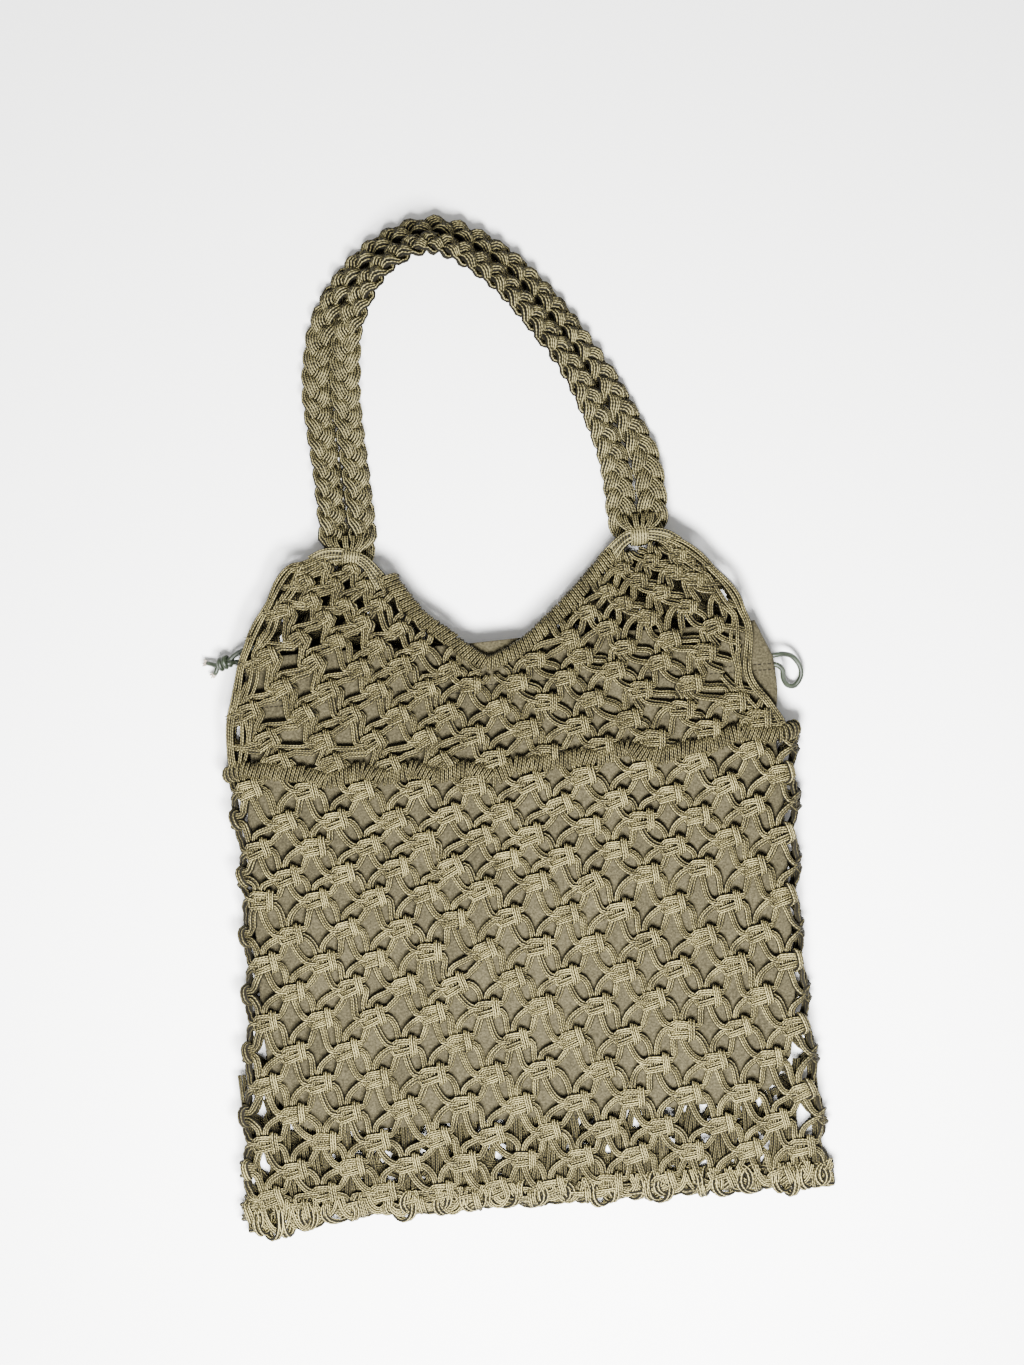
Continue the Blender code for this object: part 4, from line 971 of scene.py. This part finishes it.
def plait(name, side, node_name):
    """Cord j of strand k: sideways = swing * sin t, height = lift * sin 2t, t = way / (3 leaves) of a
    turn plus k thirds. The ribbon's cords stand beside each other, square to the strand's course.
    Four straight cords fill the middle."""
    swing, lift = 4.7 * draw_in, 4.0 * draw_in
    period = STRANDS * LEAF
    apart = ((PLAIT_WIDTH + PLAIT_GAP) / 2 - 0.8 * own_roll / OWN_ROLL) * draw_in
    middle = strap_line + wide * (side * apart)[:, None]
    ahead = np.column_stack([run, np.zeros(len(run))])
    lines = [middle + leaf_wide * (core * draw_in)[:, None] for core in CORE]
    for strand in range(STRANDS):
        t = 2 * np.pi * (way / period + strand / STRANDS + 0.13 * side)
        across, slope = swing * np.sin(t), swing * 2 * np.pi / period * np.cos(t)
        up = lift * np.sin(2 * t)
        norm = np.sqrt(1 + slope ** 2)
        for cord in range(RIBBON):
            offset = (cord - (RIBBON - 1) / 2) * RIBBON_STEP * draw_in
            bulge = -0.13 * offset ** 2 * np.sign(up) + 0.30 * np.sin(way / 17.0 + cord * 2.1 + strand)
            lines.append(middle + leaf_wide * (across + offset / norm)[:, None]
                         + leaf_thick * (up + bulge)[:, None] - ahead * (offset * slope / norm)[:, None])
    line = np.stack(lines)
    bundle = cords(line, STRAP_RADIUS, side=np.broadcast_to(leaf_wide, line.shape), sides=7)
    dress(name, bundle, STRAP_CORD, node_name)


STRAP_CORD = cord_finish("strap_cord", (0.052, 0.045, 0.0205), (0.012, 0.010, 0.0042), (0.0025, 0.002, 0.0008))
plait("strap_plait_outer_cords", 1, "strap_plait_outer")
plait("strap_plait_inner_cords", -1, "strap_plait_inner")

# %% [markdown]
# # The strap's feet
# At each foot the plaits' cords are drawn together by a short wrapping, like a bow, and spread
# again to both sides into the yoke and the neck. Front and back are alike.

# %% Gathers at the feet
GATHER_RADIUS = 1.25
GATHER_UP = 5.5             # from the foot up to the wrapping's middle
TURNS = 6
# Rows of a spray: across, and more for each step of the fan, up, and more for each, half thickness
OUTER = np.array(((1.5, 0.0, 5.5, 0.70, 8.4), (5.0, 0.0, 5.8, 0.95, 9.6), (11.0, 0.0, 4.8, 1.20, 9.0),
                  (17.0, 0.0, 2.6, 1.30, 8.0), (23.0, 0.0, -1.5, 1.25, 6.6)))
INNER = np.array(((1.5, 0.0, 5.5, 0.70, 8.4), (5.0, 0.0, 5.0, 0.95, 9.6), (9.5, 0.0, 2.6, 1.20, 9.4),
                  (14.5, 0.5, -2.2, 1.20, 9.2), (20.5, 1.2, -8.4, 0.90, 7.0)))
RISER = np.array(((0.0, 0.9, 3.5, 0.0, 8.6), (0.0, 1.5, 8.0, 0.0, 9.0), (0.0, 2.5, 11.5, 0.0, 8.0),
                  (0.0, 3.0, 14.5, 0.0, 5.6), (0.0, 3.1, 17.0, 0.0, 2.6)))


def spray(table, fan, base, right, up, face, lift=0.0):
    """Cords that fan out from base through a table's rows, on the front (face 1) or back (-1): place
    = base + (across + more * fan) * right + (rise + more * fan + lift) * up."""
    across, more, rise, more_rise, out = table.T
    route = smooth_line(spots(across + more * fan[:, None], rise + more_rise * fan[:, None] + lift, out), 15)
    flat = base + route[..., :1] * right + route[..., 1:2] * up
    return spots(flat[..., 0], flat[..., 1], THICKNESS / 2 + face * route[..., 2])


def gather(name, foot_number, node_name):
    """A wrapping of six upright turns. One spray of cords runs outwards from it to the yoke's corner,
    one sweeps down into the neck, and one dives up under the plaits, front and back alike."""
    base, up = feet[foot_number], foot_up[foot_number]
    right = np.array([up[1], -up[0]])
    outer = (-1, 1)[foot_number]
    number = np.arange(6)
    lines = []
    for face in (1, -1):
        for side in (-1, 1):
            lift = side * 0.4 * np.sin(number * 2.0)[:, None]
            table = OUTER if side == outer else INNER
            lines.append(spray(table, number - 2.5, base, side * right, up, face, lift))
        fan = np.arange(9) - 4.0 + 0.3 * np.sin(np.arange(9) * 2.3 + face)
        lines.append(spray(RISER, fan, base, *np.eye(2), face))
    spread = (np.arange(TURNS) - (TURNS - 1) / 2) * RIBBON_STEP
    middle = spots(*(base + right * spread[:, None] + up * GATHER_UP).T, THICKNESS / 2)
    bound = wraps(middle, (*right, 0.0), (0.0, 0.0, 1.0), (*up, 0.0),
                  11.2, 4.6 + 0.5 * np.cos(spread / 2), 0.4, radius=GATHER_RADIUS, rings=20)
    dress(name, join(cords(np.concatenate(lines), GATHER_RADIUS), bound), STRAP_CORD, node_name)


gather("strap_gather_left", 0, "strap_knot_left")
gather("strap_gather_right", 1, "strap_knot_right")

# %% [markdown]
# # The lining
# Inside hangs a flat cotton pouch. Its plain weave shows through the net, its right edge peeps out
# beside the yoke, and a hem with a row of stitches carries the drawcord. It is one closed loop of
# cloth, a little puckered at the mouth.

# %% Cotton
HEM_LEVEL = 41.0                           # where the drawcord runs, mm over the ridge
THREAD = 2 * math.pi / 0.75


def cotton_finish():
    """A plain weave: two waves crossing on the cloth's own map, with soft slubs and a stitched hem."""
    material, shader = new_finish("lining_cotton", 0.9)
    tree = material.node_tree
    along, level = cord_map(tree)
    weave = maths("SINE", along * THREAD) * maths("SINE", level * THREAD)
    shade = weave * 0.16 + cloudy(tree, 900.0, 2.0) * 0.9 + cloudy(tree, 25.0) * 0.35
    off_line = maths("ABSOLUTE", maths("ABSOLUTE", level - HEM_LEVEL) - 1.6)
    stitch = maths("LESS_THAN", off_line, 0.4) * maths("GREATER_THAN", maths("SINE", along * 2.3), -0.5)
    colour = ramp(shade - stitch * 0.35, (0.15, (0.006, 0.005, 0.003)), (0.55, (0.025, 0.0215, 0.0112)),
                  (0.95, (0.072, 0.062, 0.034)))
    paint(shader, colour, weave - stitch * 3.0, 0.5, 0.0003)
    return material


# %% Cloth
LINING_HALF = 144.0
LINING_RISE = 67.0
LINING_FOOT = -200.0
# height, and the left and right edge as shares of the half width
LINING_EDGE = np.array((
    (LINING_FOOT, 0.84, 0.82), (-194.0, 0.93, 0.91), (-176.0, 1.01, 1.00), (-140.0, 1.035, 1.035),
    (-20.0, 1.03, 1.045), (0.0, 1.00, 1.03), (30.1, 1.00, 1.055), (46.9, 1.00, 1.045),
    (LINING_RISE, 0.992, 0.985)))


def lining_place(turn, level):
    """A flattened loop: across = middle + half width * shaped cosine, height = middle + half
    thickness * shaped sine, with shallow folds that grow to puckers at the mouth."""
    left = -LINING_HALF * np.interp(level, LINING_EDGE[:, 0], LINING_EDGE[:, 1])
    right = LINING_HALF * np.interp(level, LINING_EDGE[:, 0], LINING_EDGE[:, 2])
    angle = 2 * np.pi * turn
    x = (left + right) / 2 + (right - left) / 2 * np.sign(np.cos(angle)) * np.abs(np.cos(angle)) ** 0.55
    full = np.interp(level, (LINING_FOOT, -195.0, -172.0, -120.0, 45.0, LINING_RISE),
                     (0.12, 0.45, 0.9, 1.0, 1.0, 0.92))
    pucker = np.interp(level, (20.0, LINING_RISE), (0.0, 1.0))
    folds = (0.35 * np.sin(x / 13.0 + level / 40.0) + 0.25 * np.sin(x / 31.0 - level / 17.0)
             + pucker * (0.55 * np.sin(x / 2.9) + 0.35 * np.sin(x / 1.7 + 1.0)))
    fat = np.abs(np.sin(angle)) ** 0.30
    z = THICKNESS / 2 + np.sign(np.sin(angle)) * fat * (4.6 * full + folds * 0.8)
    y = level + 0.8 * np.sin(x / 21.0) * (level > 60.0)
    return x, y, z


def make_lining():
    """The loop as a grid of places, closed along its foot, and given a wall of 0.5 mm."""
    turns = 220
    level = np.concatenate([np.linspace(LINING_FOOT, -165, 10)[:-1], np.linspace(-165, 40, 34)[:-1],
                            np.linspace(40, LINING_RISE, 24)])
    points = spots(*lining_place(*np.meshgrid((np.arange(turns) + 0.5) / turns, level)))
    ids = np.arange(points[..., 0].size).reshape(points.shape[:2])
    after = np.roll(ids, -1, axis=1)
    faces = np.stack([ids[:-1], ids[1:], after[1:], after[:-1]], axis=-1).reshape(-1, 4)
    there, back = ids[0, :turns // 2], ids[0, ::-1][:turns // 2]
    faces = np.concatenate([faces, np.stack([there[:-1], there[1:], back[1:], back[:-1]], axis=-1)])
    flat = points.reshape(-1, 3)
    piece = dress("lining", (flat, faces, flat[faces][..., :2]), COTTON, "lining_pouch", slot="cotton")
    wall = piece.modifiers.new("wall", "SOLIDIFY")
    wall.thickness = 0.0005
    wall.offset = 0.0
    return piece


COTTON = cotton_finish()
lining = make_lining()

# %% [markdown]
# # Floor and light
# A plain pale floor and soft studio light from above.

# %% Floor, lights and world
FLOOR_HALF, FLOOR_LEVEL = 6.0, -0.0008     # m
floor_mesh = bpy.data.meshes.new("floor")
corners = [(FLOOR_HALF * x, FLOOR_HALF * y, FLOOR_LEVEL) for x, y in ((-1, -1), (1, -1), (1, 1), (-1, 1))]
floor_mesh.from_pydata(corners, [], [(0, 1, 2, 3)])
floor = bpy.data.objects.new("floor", floor_mesh)
bpy.context.scene.collection.objects.link(floor)
floor_finish, floor_shader = new_finish("floor", 0.9)
floor_shader.inputs["Base Color"].default_value = (0.90, 0.90, 0.89, 1.0)
floor_mesh.materials.append(floor_finish)


def area_light(name, place, target, size, power):
    """A square lamp of a size in metres that shines from place to target."""
    light = bpy.data.lights.new(name, "AREA")
    light.size = size
    light.energy = power
    lamp = bpy.data.objects.new(name, light)
    x, y, z = unit(np.array(place, float) - np.array(target, float))
    lamp.location = place
    lamp.rotation_euler = (math.acos(z), 0.0, math.atan2(x, -y))
    bpy.context.scene.collection.objects.link(lamp)


area_light("key", (-0.16, -0.42, 1.08), (0.0, -0.08, 0.0), 0.30, 50.0)
area_light("flash", (0.06, -0.34, 0.68), (0.03, -0.20, 0.0), 0.20, 32.0)
world = bpy.data.worlds.new("world")
world.use_nodes = True
background = world.node_tree.nodes["Background"]
background.inputs["Color"].default_value = (1.0, 1.0, 1.0, 1.0)
background.inputs["Strength"].default_value = 0.65
bpy.context.scene.world = world
